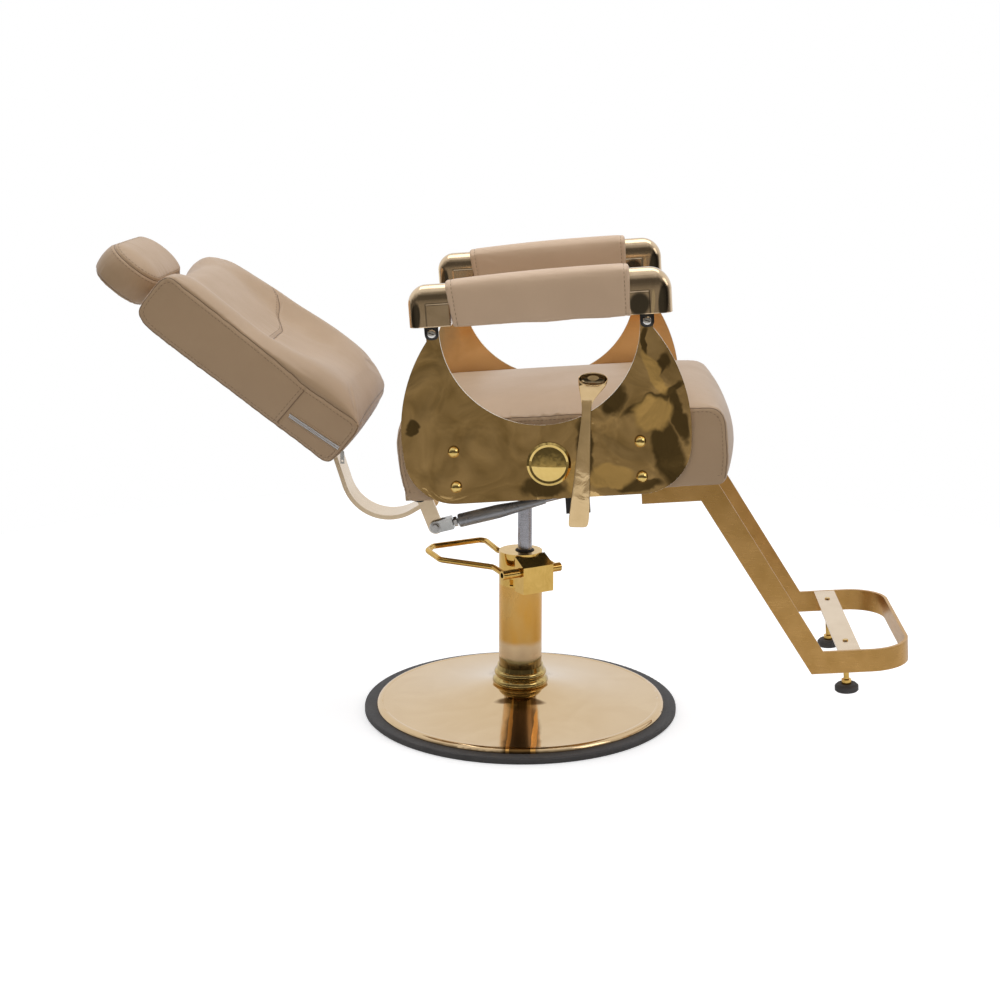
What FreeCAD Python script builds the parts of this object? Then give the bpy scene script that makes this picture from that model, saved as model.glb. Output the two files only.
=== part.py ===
import FreeCAD, Part
import Sketcher
import math
import os
import re

# Hydraulic barber chair, reclined, in millimetres.
# +Z is up, +X is the front of the chair, +Y is its left side.
# The origin is on the floor, under the axis of the pump.

Vec = FreeCAD.Vector
doc = FreeCAD.newDocument("barber_chair")
dims = doc.addObject("Spreadsheet::Sheet", "dims")

# Driving dimensions: name, value, meaning
DRIVING = [
    ("base_radius", 300, "rubber ring of the base, outside"),
    ("ring_width", 28, "rubber ring, width"),
    ("ring_height", 12, "rubber ring, height"),
    ("ring_round", 3, "rubber ring, rounded edge"),
    ("dish_margin", 23, "rubber ring left free outside the cover"),
    ("dish_lip", 2, "upright lip of the cover"),
    ("dish_wall", 3, "thickness of the cover"),
    ("dish_top", 50, "height of the cover at the column"),
    ("plate_thick", 7, "steel base plate, thickness"),
    ("column_radius", 41, "pump tube and head, outside"),
    ("column_wall", 3.5, "pump tube, wall"),
    ("collar_height", 38, "turned collar"),
    ("flange_radius", 72, "foot flange of the tube"),
    ("flange_thick", 6, "foot flange, thickness"),
    ("base_bolt_circle", 58, "radius of the bolt circle in the base"),
    ("tube_top", 250, "joint between tube and head"),
    ("head_length", 64, "pump head"),
    ("spigot_length", 15, "spigot of the head inside the tube"),
    ("ram_x", 8, "ram axis ahead of the tube axis"),
    ("ram_radius", 13.5, "ram"),
    ("ram_neck", 11, "turned end of the ram that the seat turns on"),
    ("ram_bottom", 85, "lower end of the ram"),
    ("hub_drop", 38, "shoulder of the ram below the seat line"),
    ("neck_length", 30, "turned end of the ram, length"),
    ("run_fit", 0.05, "radial clearance of running fits"),
    ("seal_radius", 18, "ram seal, outside"),
    ("seal_proud", 2, "ram seal above the head"),
    ("seal_depth", 6, "ram seal, height"),
    ("axle_turn", 33.3, "direction of the pedal axle seen from above"),
    ("axle_reach", 52, "pedal axle to the column axis"),
    ("axle_shift", -8, "middle of the axle along its length"),
    ("axle_drop", 28, "pedal axle below the top of the head"),
    ("axle_length", 126, "pedal axle tube"),
    ("axle_radius", 8.5, "pedal axle tube, outside"),
    ("axle_bore", 5, "pedal axle tube, inside"),
    ("pedal_rise", 6, "upward slope of the pedal at rest"),
    ("wire_radius", 5.5, "bent wire of the pedal"),
    ("wire_bend", 13, "bends of the pedal wire"),
    ("arm_place", 56, "pedal arms along the axle"),
    ("wire_run", 45, "straight start of the left pedal arm"),
    ("wire_back", 95, "straight start of the right pedal arm"),
    ("loop_out", 130, "outer corners of the pedal loop"),
    ("loop_start", 117, "near outer corner of the loop"),
    ("loop_turn", 170, "far outer corner of the loop"),
    ("loop_far", 187, "far side of the loop"),
    ("loop_tip", 109, "outer end of the far side"),
    ("loop_slant", 3, "slant of the loop's far and inner sides"),
    ("loop_close", 114, "end of the loop behind the head"),
    ("lug_inner", 14, "inner face of the axle lugs"),
    ("lug_outer", 24, "outer face of the axle lugs"),
    ("lug_radius", 11.5, "axle lugs, round end"),
    ("cover_width", 65, "pump cover, width"),
    ("cover_room", 14, "pedal axle to the cover front face"),
    ("cover_back", 34, "back edge of the cover cheeks"),
    ("cover_height", 51, "front face of the pump cover"),
    ("cover_drop", 17, "cover front face below the top of the head"),
    ("cover_sheet", 2, "sheet of the pump cover"),
    ("deck_height", 470, "underside of the seat above the column axis"),
    ("seat_tilt", 4, "backward lean of the whole seat"),
    ("hub_radius", 25, "swivel hub"),
    ("hub_cap", 11, "hub above the top of the ram"),
    ("bore_relief", 1.5, "space above the ram in the hub"),
    ("deck_rear", -90, "rear edge of the swivel plate"),
    ("deck_front", 110, "front edge of the swivel plate"),
    ("deck_half", 95, "half width of the swivel plate"),
    ("deck_thick", 8, "swivel plate and footrest plate line"),
    ("board_thick", 18, "plywood"),
    ("tray_rear", -190, "rear edge of the seat board"),
    ("tray_front", 350, "front edge of the seat board"),
    ("tray_half", 243, "half width of the seat board"),
    ("cheek_top", 112, "top of the side boards"),
    ("soft_gap", 0.5, "gap between upholstery and hard parts"),
    ("wrap_rear", 4, "upholstery behind the seat board"),
    ("wrap_front", 16, "upholstery ahead of the seat board"),
    ("seat_seam", 147, "height of the seat's upper side seam"),
    ("seat_crown", 170, "height of the seat in the middle"),
    ("wrap_side", 14, "upholstery beside the seat board"),
    ("seat_bulge", 24, "bulge of the seat's front and rear"),
    ("panel_room", 19, "seat board edge to side plate"),
    ("panel_thick", 5, "side plate"),
    ("panel_mid", 63, "middle of the side plate"),
    ("panel_bottom", 3, "lower edge of the side plate"),
    ("panel_half", 247, "half length of the side plate"),
    ("panel_corner", 87, "lower corners of the side plate"),
    ("panel_flank", 350, "upper flanks of the side plate"),
    ("bay_radius", 170, "round opening of the side plate"),
    ("bay_drop", 10, "centre of the round opening below the armrest"),
    ("tab_drop", 4, "top of the side plate below the armrest"),
    ("tab_width", 20, "tabs of the side plate"),
    ("stud_reach", 160, "studs ahead of and behind the middle"),
    ("stud_low", 34, "lower studs"),
    ("stud_high", 96, "upper studs"),
    ("stud_radius", 5, "studs"),
    ("spacer_radius", 8, "spacers on the studs"),
    ("nut_radius", 10, "dome nuts"),
    ("nut_collar", 3, "straight collar of a dome nut"),
    ("hole_gap", 0.2, "play of fixing holes"),
    ("arm_outset", 15, "side plate to the middle of the armrest"),
    ("cap_half", 25, "half width of the arm caps"),
    ("cap_edge", 21, "rounded edges of the arm caps"),
    ("cap_nose", 36, "round nose of the arm caps"),
    ("cap_wall", 4, "wall of the arm caps"),
    ("cap_lift", 3, "lower edge of the caps above that of the pad"),
    ("cap_rear_end", -153, "rear end of the armrest"),
    ("cap_rear_rise", 69, "height of the rear cap at its nose"),
    ("cap_front_end", 288, "front end of the armrest"),
    ("cap_front_rise", 76, "height of the front cap at its nose"),
    ("pad_rear", -84, "rear end of the arm pad"),
    ("pad_front", 212, "front end of the arm pad"),
    ("pad_half", 28, "half width of the arm pad"),
    ("arm_height", 313, "underside of the armrest above the seat line"),
    ("pad_rear_rise", 78, "height of the arm pad at the rear"),
    ("pad_front_rise", 87, "height of the arm pad at the front"),
    ("pad_swell", 4, "swell of the arm pad between its ends"),
    ("rail_half", 13, "half width of the arm rail"),
    ("rail_lift", 22, "arm rail above the underside of the pad"),
    ("rail_height", 33, "arm rail, height"),
    ("rail_back_off", 31, "arm rail short of the rear cap's nose"),
    ("rail_front_off", 28, "arm rail short of the front cap's nose"),
    ("strap_thick", 4, "arm brackets"),
    ("strap_lap", 15, "arm brackets below their screws"),
    ("screw_drop", 12, "arm screws below the armrest"),
    ("screw_reach", 182, "arm screws ahead of and behind the middle"),
    ("screw_radius", 3, "arm screws"),
    ("screw_head", 7, "heads of the arm screws"),
    ("boss_radius", 38, "round boss on the right side plate"),
    ("boss_proud", 9, "height of the round boss"),
    ("boss_height", 65, "place of the round boss"),
    ("foot_bar", 41, "height of the footrest's flat bar"),
    ("foot_bar_thick", 6, "thickness of the footrest's flat bar"),
    ("foot_half", 192, "half width of the footrest"),
    ("foot_rear", 221, "rear end of the footrest's upper bars"),
    ("foot_knee", 325, "knee of the footrest, lower edge"),
    ("foot_heel", 508, "lower end of the sloping bars"),
    ("foot_drop", 364, "lower edge of the foot loop under the seat"),
    ("loop_length", 183, "foot loop ahead of the sloping bars"),
    ("foot_corner", 76, "front corners of the foot loop"),
    ("tread_place", 49, "tread strap ahead of the sloping bars"),
    ("tread_width", 40, "tread strap"),
    ("tread_thick", 5, "tread strap, thickness"),
    ("glide_half", 132, "glides from the middle"),
    ("glide_reach", 55, "underside of the glides below the foot loop"),
    ("glide_radius", 21.5, "glides"),
    ("glide_thick", 14, "glides, thickness"),
    ("stem_radius", 5, "threaded stems of the glides"),
    ("stem_collar", 9, "collars of the stems"),
    ("hinge_x", -185, "recline hinge, ahead of the column"),
    ("hinge_drop", 34, "recline hinge below the seat line"),
    ("back_angle", 39.7, "backrest above the horizontal at rest"),
    ("hinge_pin_radius", 7, "recline hinge pin"),
    ("hinge_tube", 13, "recline hinge tube, outside"),
    ("hinge_half", 60, "half length of the hinge tube"),
    ("ear_thick", 6, "hinge ears"),
    ("bar_width", 70, "flat bar that carries the back"),
    ("bar_thick", 8, "flat bar that carries the back, thickness"),
    ("bar_bend", 85, "large bend of the back bar"),
    ("bar_upper_bend", 40, "upper bend of the back bar"),
    ("bar_root_back", 14, "start of the bar behind the hinge"),
    ("bar_root_drop", 23, "start of the bar below the hinge"),
    ("bar_reach", 147, "large bend behind the hinge"),
    ("bar_bend_rise", 22, "large bend, above the hinge"),
    ("bar_foot", 191, "upper bend along the back"),
    ("bar_end", 345, "end of the bar along the back"),
    ("bar_bolt_lift", 20, "upper bolts below the end of the bar"),
    ("bar_bolt_pitch", 80, "bolts of the bar along the back"),
    ("bar_bolt_half", 18, "bolts of the bar from its middle"),
    ("crank_arm", 75, "recline hinge to the clevis pin"),
    ("crank_thick", 8, "crank plates"),
    ("crank_radius", 14, "round end of the crank plate"),
    ("lock_y", -32, "line of the recline lock beside the middle"),
    ("pin_ahead", 27, "clevis pin ahead of the hinge"),
    ("pin_drop", 70, "clevis pin below the hinge"),
    ("lock_slope", 14.5, "slope of the recline lock"),
    ("lock_length", 330, "clevis pin to anchor pin"),
    ("lock_radius", 13, "cylinder of the recline lock"),
    ("lock_start", 45, "start of the lock cylinder"),
    ("lock_taper", 122, "start of the taper"),
    ("lock_end", 212, "end of the taper"),
    ("lock_nose", 6.5, "radius at the end of the taper"),
    ("rod_radius", 4.5, "rod of the recline lock"),
    ("clevis_pin", 4, "clevis pin and anchor pin"),
    ("eye_bore", 8, "bore of the rod's eye, wide on the open pivot"),
    ("eye_radius", 13, "eye of the rod"),
    ("back_rear", -32, "rear face of the back cushion"),
    ("back_seam", 63, "front side seam of the back cushion"),
    ("back_low", 170, "lower end of the back cushion"),
    ("back_high", 591, "upper end of the back cushion"),
    ("back_half", 216, "half width of the back cushion"),
    ("bolster_rise", 31, "side bolsters above their seam"),
    ("dish_depth", 19, "middle of the back below its bolsters"),
    ("back_board_thick", 14, "board in the back"),
    ("rest_gap", 15, "backrest to headrest"),
    ("rest_height", 104, "headrest"),
    ("rest_back", 24, "rear of the headrest behind that of the back"),
    ("rest_seam", 15, "front seam of the headrest"),
    ("rest_crown", 13, "crown of the headrest above its seam"),
    ("rest_half", 124, "half width of the headrest"),
    ("post_half", 19, "half width of the headrest post"),
    ("post_thick", 6, "headrest post, thickness"),
    ("post_lap", 146, "headrest post below the top of the back"),
    ("lever_x", 110, "lever shaft ahead of the middle"),
    ("lever_z", -12, "lever shaft under the seat line"),
    ("lever_outset", 14, "side plate to the outer face of the lever"),
    ("lever_thick", 5, "lever, thickness"),
    ("lever_tail", 35, "lower end of the lever below its shaft"),
    ("lever_top", 238, "top of the lever above its shaft"),
    ("lever_neck", 172, "narrow neck of the lever above its shaft"),
    ("lever_half", 18, "half width of the lever at its shaft"),
    ("lever_cup", 48, "width of the lever's cupped end"),
    ("shaft_radius", 6, "lever shaft"),
]

# Sizes that follow from the driving dimensions
DRIVEN = [
    ("ring_inner", "base_radius - ring_width"),
    ("dish_radius", "base_radius - dish_margin"),
    ("collar_top", "dish_top + collar_height"),
    ("head_top", "tube_top + head_length"),
    ("ram_shoulder", "deck_height - hub_drop"),
    ("ram_top", "ram_shoulder + neck_length"),
    ("hub_top", "ram_top + hub_cap"),
    ("axle_height", "head_top - axle_drop"),
    ("cover_front", "axle_reach + cover_room"),
    ("cover_top", "head_top - cover_drop"),
    ("cover_bottom", "cover_top - cover_height"),
    ("seat_rear", "tray_rear - wrap_rear"),
    ("seat_front", "tray_front + wrap_front"),
    ("seat_half", "tray_half + wrap_side"),
    ("panel_gap", "tray_half + panel_room"),
    ("arm_centre", "panel_gap + arm_outset"),
    ("bay_centre", "arm_height - bay_drop"),
    ("tab_top", "arm_height - tab_drop"),
    ("screw_height", "arm_height - screw_drop"),
    ("strap_low", "screw_height - strap_lap"),
    ("cap_low", "arm_height + cap_lift"),
    ("cap_rear_top", "cap_low + cap_rear_rise"),
    ("cap_front_top", "cap_low + cap_front_rise"),
    ("pad_rear_top", "arm_height + pad_rear_rise"),
    ("pad_front_top", "arm_height + pad_front_rise"),
    ("rail_low", "arm_height + rail_lift"),
    ("rail_high", "rail_low + rail_height"),
    ("rail_rear", "cap_rear_end + rail_back_off"),
    ("rail_front", "cap_front_end - rail_front_off"),
    ("foot_front", "foot_heel + loop_length"),
    ("tread_rear", "foot_heel + tread_place"),
    ("glide_drop", "foot_drop + glide_reach"),
    ("hinge_z", "deck_height - hinge_drop"),
    ("pin_x", "hinge_x + pin_ahead"),
    ("pin_z", "hinge_z - pin_drop"),
    ("lever_out", "panel_gap + panel_thick + lever_outset"),
    ("rest_low", "back_high + rest_gap"),
    ("rest_high", "rest_low + rest_height"),
    ("rest_rear", "back_rear - rest_back"),
    ("post_low", "back_high - post_lap"),
]

NAMES = set()
for row, (name, value, meaning) in enumerate(DRIVING, start=1):
    dims.set("A%d" % row, meaning)
    dims.set("B%d" % row, str(value))
    dims.setAlias("B%d" % row, name)
    NAMES.add(name)
for row, (name, formula) in enumerate(DRIVEN, start=len(DRIVING) + 1):
    dims.set("A%d" % row, formula)
    dims.set("B%d" % row, "=" + formula)
    dims.setAlias("B%d" % row, name)
    NAMES.add(name)
doc.recompute()


def sheet(text):
    """Turns plain names into references to the sheet."""
    return re.sub(r"[a-z_]+", lambda m: "dims." + m[0] if m[0] in NAMES else m[0], str(text))


def size(text):
    """Value of an expression of named dimensions."""
    return float(dims.evalExpression(sheet(text)))


def bind(item, prop, text):
    item.setExpression(prop, sheet(text))


# Frames in which the sub-parts are placed
FRAMES = {
    "floor": "placement(vector(0; 0; 0); rotation(vector(0; 0; 1); 0))",
    "seat": "placement(vector(0; 0; deck_height); rotation(vector(0; 1; 0); -seat_tilt))",
    "back": "placement(vector(hinge_x; 0; hinge_z); rotation(vector(0; 1; 0); back_angle - 90))",
    "lock": "placement(vector(pin_x; lock_y; pin_z); rotation(vector(0; 1; 0); -lock_slope))",
    "pump": "placement(vector(0; 0; 0); rotation(vector(0; 0; 1); axle_turn))",
    "pedal": "placement(vector(0; 0; 0); rotation(vector(0; 0; 1); axle_turn))"
             " * placement(vector(axle_shift; -axle_reach; axle_height);"
             " rotation(vector(1; 0; 0); pedal_rise))",
}

SUBPARTS = {}


def place(item, frame, x=0, y=0, z=0, axis=(0, 0, 1), angle=0):
    """Binds an item's placement inside one of the frames."""
    own = "placement(vector(%s; %s; %s); rotation(vector(%s; %s; %s); %s))"
    bind(item, "Placement", FRAMES[frame] + " * " + own % ((x, y, z) + axis + (angle,)))


def keep(item, name):
    """Registers an item as the sub-part that is written under this name."""
    item.Label = name
    SUBPARTS[name] = item
    return item


def body(name):
    return keep(doc.addObject("PartDesign::Body", name), name)


def sketch(owner, role, offset=None):
    """Sketch on an origin plane of its own body, moved along the plane's normal."""
    item = owner.newObject("Sketcher::SketchObject", "Sketch")
    plane = [part for part in owner.Origin.OriginFeatures if part.Role == role][0]
    item.AttachmentSupport = [(plane, "")]
    item.MapMode = "FlatFace"
    if offset is not None:
        bind(item, "AttachmentOffset.Base.z", offset)
    return item


def pin_point(item, geometry, end, x, y):
    """Ties a sketch point to the sketch's origin in x and y."""
    for kind, text in (("DistanceX", x), ("DistanceY", y)):
        index = item.addConstraint(Sketcher.Constraint(kind, -1, 1, geometry, end, size(text)))
        bind(item, "Constraints[%d]" % index, text)


def near(item, geometry, point):
    """End, 1 or 2, of an edge that lies at a point."""
    first = item.getPoint(geometry, 1)
    return 1 if first.distanceToPoint(point) < 1e-6 else 2


def outline(item, corners):
    """Closed outline. A corner is (x, y), or (x, y, mid_x, mid_y) where an arc leaves it."""
    points = [Vec(size(c[0]), size(c[1]), 0) for c in corners]
    edges = []
    for number, corner in enumerate(corners):
        start = points[number]
        end = points[(number + 1) % len(corners)]
        if len(corner) == 4:
            middle = Vec(size(corner[2]), size(corner[3]), 0)
            edge = item.addGeometry(Part.Arc(start, middle, end))
            mark = item.addGeometry(Part.Point(middle), True)
            pin_point(item, mark, 1, corner[2], corner[3])
            item.addConstraint(Sketcher.Constraint("PointOnObject", mark, 1, edge))
        else:
            edge = item.addGeometry(Part.LineSegment(start, end))
        edges.append(edge)
    for number, corner in enumerate(corners):
        before = edges[number - 1]
        after = edges[number]
        point = points[number]
        link = (before, near(item, before, point), after, near(item, after, point))
        item.addConstraint(Sketcher.Constraint("Coincident", *link))
        pin_point(item, after, near(item, after, point), corner[0], corner[1])


def circle(item, x, y, radius):
    edge = item.addGeometry(Part.Circle(Vec(size(x), size(y), 0), Vec(0, 0, 1), size(radius)))
    pin_point(item, edge, 3, x, y)
    index = item.addConstraint(Sketcher.Constraint("Radius", edge, size(radius)))
    bind(item, "Constraints[%d]" % index, radius)


def rectangle(item, left, low, right, high):
    outline(item, [(left, low), (right, low), (right, high), (left, high)])


def bent_path(item, corners, bends):
    """Open path of straight runs joined by tangent arcs, one bend radius per inner corner."""
    points = [Vec(size(x), size(y), 0) for x, y in corners]
    starts = [points[0]]
    ends = []
    arcs = []
    for number, bend in enumerate(bends, start=1):
        here = points[number]
        back = (points[number - 1] - here).normalize()
        ahead = (points[number + 1] - here).normalize()
        half = back.getAngle(ahead) / 2
        reach = size(bend) / math.tan(half)
        centre = here + (back + ahead).normalize() * (reach ** 2 + size(bend) ** 2) ** 0.5
        middle = centre + (here - centre).normalize() * size(bend)
        ends.append(here + back * reach)
        starts.append(here + ahead * reach)
        arcs.append(Part.Arc(ends[-1], middle, starts[-1]))
    ends.append(points[-1])
    lines = [item.addGeometry(Part.LineSegment(a, b)) for a, b in zip(starts, ends)]
    pin_point(item, lines[0], 1, *corners[0])
    pin_point(item, lines[-1], 2, *corners[-1])
    for number, (arc, bend) in enumerate(zip(arcs, bends)):
        edge = item.addGeometry(arc)
        before = lines[number]
        after = lines[number + 1]
        first = near(item, edge, ends[number])
        item.addConstraint(Sketcher.Constraint("Tangent", before, 2, edge, first))
        item.addConstraint(Sketcher.Constraint("Tangent", edge, 3 - first, after, 1))
        index = item.addConstraint(Sketcher.Constraint("Radius", edge, size(bend)))
        bind(item, "Constraints[%d]" % index, bend)
        mark = item.addGeometry(Part.Point(points[number + 1]), True)
        pin_point(item, mark, 1, *corners[number + 1])
        item.addConstraint(Sketcher.Constraint("PointOnObject", mark, 1, before))
        item.addConstraint(Sketcher.Constraint("PointOnObject", mark, 1, after))


def pad(owner, profile, length, midplane=False, reverse=False):
    item = owner.newObject("PartDesign::Pad", "Pad")
    item.Profile = profile
    item.Midplane = midplane
    item.Reversed = reverse
    bind(item, "Length", length)
    return item


def pocket(owner, profile, length, midplane=False, reverse=False):
    item = owner.newObject("PartDesign::Pocket", "Pocket")
    item.Profile = profile
    item.Midplane = midplane
    item.Reversed = reverse
    bind(item, "Length", length)
    return item


def turned(name, corners):
    """Body of revolution about Z. Corners are (radius, height), arcs as in outline."""
    owner = body(name)
    profile = sketch(owner, "XZ_Plane")
    outline(profile, corners)
    item = owner.newObject("PartDesign::Revolution", "Revolution")
    item.Profile = profile
    item.ReferenceAxis = (profile, ["V_Axis"])
    item.Angle = 360
    return owner


def loft(owner, profiles):
    item = owner.newObject("PartDesign::AdditiveLoft", "Loft")
    item.Profile = profiles[0]
    item.Sections = profiles[1:]
    item.Ruled = True
    return item


def mirrored(owner, features, role):
    plane = [part for part in owner.Origin.OriginFeatures if part.Role == role][0]
    item = owner.newObject("PartDesign::Mirrored", "Mirrored")
    item.Originals = features
    item.MirrorPlane = (plane, [""])
    owner.Tip = item
    return item


def box(name, left, right, back, front, low, high):
    """Block from its six faces."""
    item = doc.addObject("Part::Box", name)
    bind(item, "Length", "(%s) - (%s)" % (right, left))
    bind(item, "Width", "(%s) - (%s)" % (front, back))
    bind(item, "Height", "(%s) - (%s)" % (high, low))
    bind(item, "Placement", "placement(vector(%s; %s; %s); rotation(vector(0; 0; 1); 0))"
         % (left, back, low))
    return item


TURNS = {"x": "rotation(vector(0; 1; 0); 90)", "y": "rotation(vector(1; 0; 0); -90)",
         "z": "rotation(vector(0; 0; 1); 0)"}


def rod(name, axis, start, length, u, v, radius):
    """Cylinder along x, y or z from start, at (u, v) in the other two directions."""
    item = doc.addObject("Part::Cylinder", name)
    bind(item, "Radius", radius)
    bind(item, "Height", length)
    centre = {"x": (start, u, v), "y": (u, start, v), "z": (u, v, start)}[axis]
    bind(item, "Placement", "placement(vector(%s; %s; %s); %s)" % (centre + (TURNS[axis],)))
    return item


def joined(name, shapes):
    item = doc.addObject("Part::MultiFuse", name)
    item.Shapes = shapes
    return item


def cut(name, base, tools):
    item = doc.addObject("Part::Cut", name)
    item.Base = base
    item.Tool = tools[0] if len(tools) == 1 else joined(name + "_tools", tools)
    return item


def group(name, shapes):
    """Separate solids that share one node."""
    item = doc.addObject("Part::Compound", name)
    item.Links = shapes
    return keep(item, name)


# Base
def make_base():
    ring = turned("base_ring", [
        ("ring_inner", "0"), ("base_radius - ring_round", "0"),
        ("base_radius", "ring_round"), ("base_radius", "ring_height - ring_round",
                                        "base_radius - 0.9", "ring_height - 0.9"),
        ("base_radius - ring_round", "ring_height"), ("ring_inner", "ring_height")])
    place(ring, "floor")

    plate = turned("base_plate", [
        ("0", "0"), ("ring_inner - hole_gap", "0"),
        ("ring_inner - hole_gap", "plate_thick"), ("0", "plate_thick")])
    holes = sketch(plate, "XY_Plane")
    for x, y in ((1, 0), (0, 1), (-1, 0), (0, -1)):
        circle(holes, "base_bolt_circle * %d" % x, "base_bolt_circle * %d" % y,
               "stud_radius + hole_gap")
    pocket(plate, holes, "4 * plate_thick", reverse=True)
    place(plate, "floor")

    dish = turned("base_dish", [
        ("dish_radius", "ring_height"),
        ("dish_radius", "ring_height + dish_lip", "dish_radius - 4", "ring_height + dish_lip + 5"),
        ("dish_radius - 14", "ring_height + dish_lip + 6", "dish_radius * 0.54", "dish_top * 0.6"),
        ("flange_radius - 16", "dish_top"), ("column_radius + 0.3", "dish_top"),
        ("column_radius + 0.3", "dish_top - dish_wall"),
        ("flange_radius - 16", "dish_top - dish_wall", "dish_radius * 0.54 - 1",
         "dish_top * 0.6 - dish_wall"),
        ("dish_radius - 15", "ring_height + dish_lip + 6 - dish_wall"),
        ("dish_radius - dish_wall", "ring_height + dish_lip - 1"),
        ("dish_radius - dish_wall", "ring_height")])
    place(dish, "floor")

    collar = turned("base_collar", [
        ("column_radius + 0.2", "dish_top"),
        ("column_radius + 9", "dish_top", "column_radius + 12.5", "dish_top + 7"),
        ("column_radius + 9", "dish_top + 14"), ("column_radius + 6.5", "dish_top + 16"),
        ("column_radius + 6.5", "dish_top + 18", "column_radius + 9", "dish_top + 23"),
        ("column_radius + 5", "dish_top + 30"), ("column_radius + 2.5", "collar_top"),
        ("column_radius + 0.2", "collar_top")])
    place(collar, "floor")


# Pump
def make_pump():
    foot = "plate_thick"
    tube = turned("pump_tube", [
        ("0", foot), ("flange_radius", foot), ("flange_radius", foot + " + flange_thick"),
        ("column_radius", foot + " + flange_thick"), ("column_radius", "tube_top"),
        ("column_radius - column_wall", "tube_top"),
        ("column_radius - column_wall", foot + " + flange_thick"), ("0", foot + " + flange_thick")])
    holes = sketch(tube, "XY_Plane")
    for x, y in ((1, 0), (0, 1), (-1, 0), (0, -1)):
        circle(holes, "base_bolt_circle * %d" % x, "base_bolt_circle * %d" % y,
               "stud_radius + hole_gap")
    pocket(tube, holes, "4 * plate_thick", reverse=True)
    place(tube, "floor")

    bolts = []
    for x, y in ((1, 0), (0, 1), (-1, 0), (0, -1)):
        u = "base_bolt_circle * %d" % x
        v = "base_bolt_circle * %d" % y
        shank = rod("base_bolt_shank", "z", "0", "plate_thick + flange_thick + 1", u, v, "stud_radius")
        head = rod("base_bolt_head", "z", foot + " + flange_thick", "6", u, v, "stud_radius + 4")
        bolts.append(joined("base_bolt", [shank, head]))
    place(group("base_bolts", bolts), "floor")

    barrel = rod("head_barrel", "z", "tube_top", "head_top - tube_top", "0", "0", "column_radius")
    spigot = rod("head_spigot", "z", "tube_top - spigot_length", "spigot_length + 1", "0", "0",
                 "column_radius - column_wall - hole_gap")
    lugs = []
    bores = []
    for side in (-1, 1):
        inner = "%d * (lug_inner + lug_outer) / 2 - (lug_outer - lug_inner) / 2" % side
        lugs.append(rod("lug_round", "x", inner, "lug_outer - lug_inner", "-axle_reach", "axle_height",
                        "lug_radius"))
        outer = inner + " + lug_outer - lug_inner"
        lugs.append(box("lug_web", inner, outer, "-axle_reach", "-lug_outer",
                        "axle_height - lug_radius", "axle_height + lug_radius"))
    bores.append(rod("axle_hole", "x", "-cover_width", "2 * cover_width", "-axle_reach", "axle_height",
                     "axle_radius + run_fit"))
    ram_turn = "placement(vector(ram_x * cos(axle_turn); -ram_x * sin(axle_turn); %s);" \
               " rotation(vector(0; 0; 1); 0))"
    ram_hole = doc.addObject("Part::Cylinder", "ram_hole")
    bind(ram_hole, "Radius", "ram_radius + run_fit")
    bind(ram_hole, "Height", "2 * head_top")
    bind(ram_hole, "Placement", ram_turn % "0")
    seal_seat = doc.addObject("Part::Cylinder", "seal_seat")
    bind(seal_seat, "Radius", "seal_radius + run_fit")
    bind(seal_seat, "Height", "2 * seal_depth")
    bind(seal_seat, "Placement", ram_turn % "head_top + seal_proud - seal_depth")
    window = box("head_window", "-cover_width / 2 - 10", "-cover_width / 2 + 1", "-column_radius",
                 "-20",
                 "tube_top + 3", "tube_top + 16")
    blank = joined("head_blank", [barrel, spigot] + lugs)
    head = cut("pump_head", blank, bores + [ram_hole, seal_seat, window])
    keep(head, "pump_head")
    place(head, "pump")

    seal = turned("ram_seal", [
        ("ram_radius + run_fit", "0"), ("seal_radius", "0"), ("seal_radius", "seal_depth - 1"),
        ("seal_radius - 1.5", "seal_depth"), ("ram_radius + run_fit", "seal_depth")])
    place(seal, "floor", "ram_x", 0, "head_top + seal_proud - seal_depth")

    # Bent sheet over the axle: sloping top, square front, open below and behind
    cover = body("pump_cover")
    side = sketch(cover, "YZ_Plane")
    outline(side, [("-cover_back", "cover_bottom"), ("-cover_front", "cover_bottom"),
                   ("-cover_front", "cover_top"), ("-cover_back", "head_top - 1")])
    pad(cover, side, "cover_width", midplane=True)
    inside = sketch(cover, "YZ_Plane")
    outline(inside, [("0", "cover_bottom - 1"), ("cover_sheet - cover_front", "cover_bottom - 1"),
                     ("cover_sheet - cover_front", "cover_top - 1.4 * cover_sheet"),
                     ("-cover_back", "head_top - 1 - 1.2 * cover_sheet"),
                     ("0", "head_top - 1 - 1.2 * cover_sheet")])
    pocket(cover, inside, "cover_width - 2 * cover_sheet", midplane=True)
    around = sketch(cover, "XY_Plane")
    circle(around, "0", "0", "column_radius + 0.3")
    pocket(cover, around, "2 * head_top", reverse=True)
    passage = sketch(cover, "YZ_Plane")
    circle(passage, "-axle_reach", "axle_height", "axle_radius + 1")
    pocket(cover, passage, "2 * cover_width", midplane=True)
    place(cover, "pump")

    ram = turned("ram", [
        ("0", "ram_bottom"), ("ram_radius", "ram_bottom"), ("ram_radius", "ram_shoulder"),
        ("ram_neck", "ram_shoulder"), ("ram_neck", "ram_top"), ("0", "ram_top")])
    place(ram, "floor", "ram_x")


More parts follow.
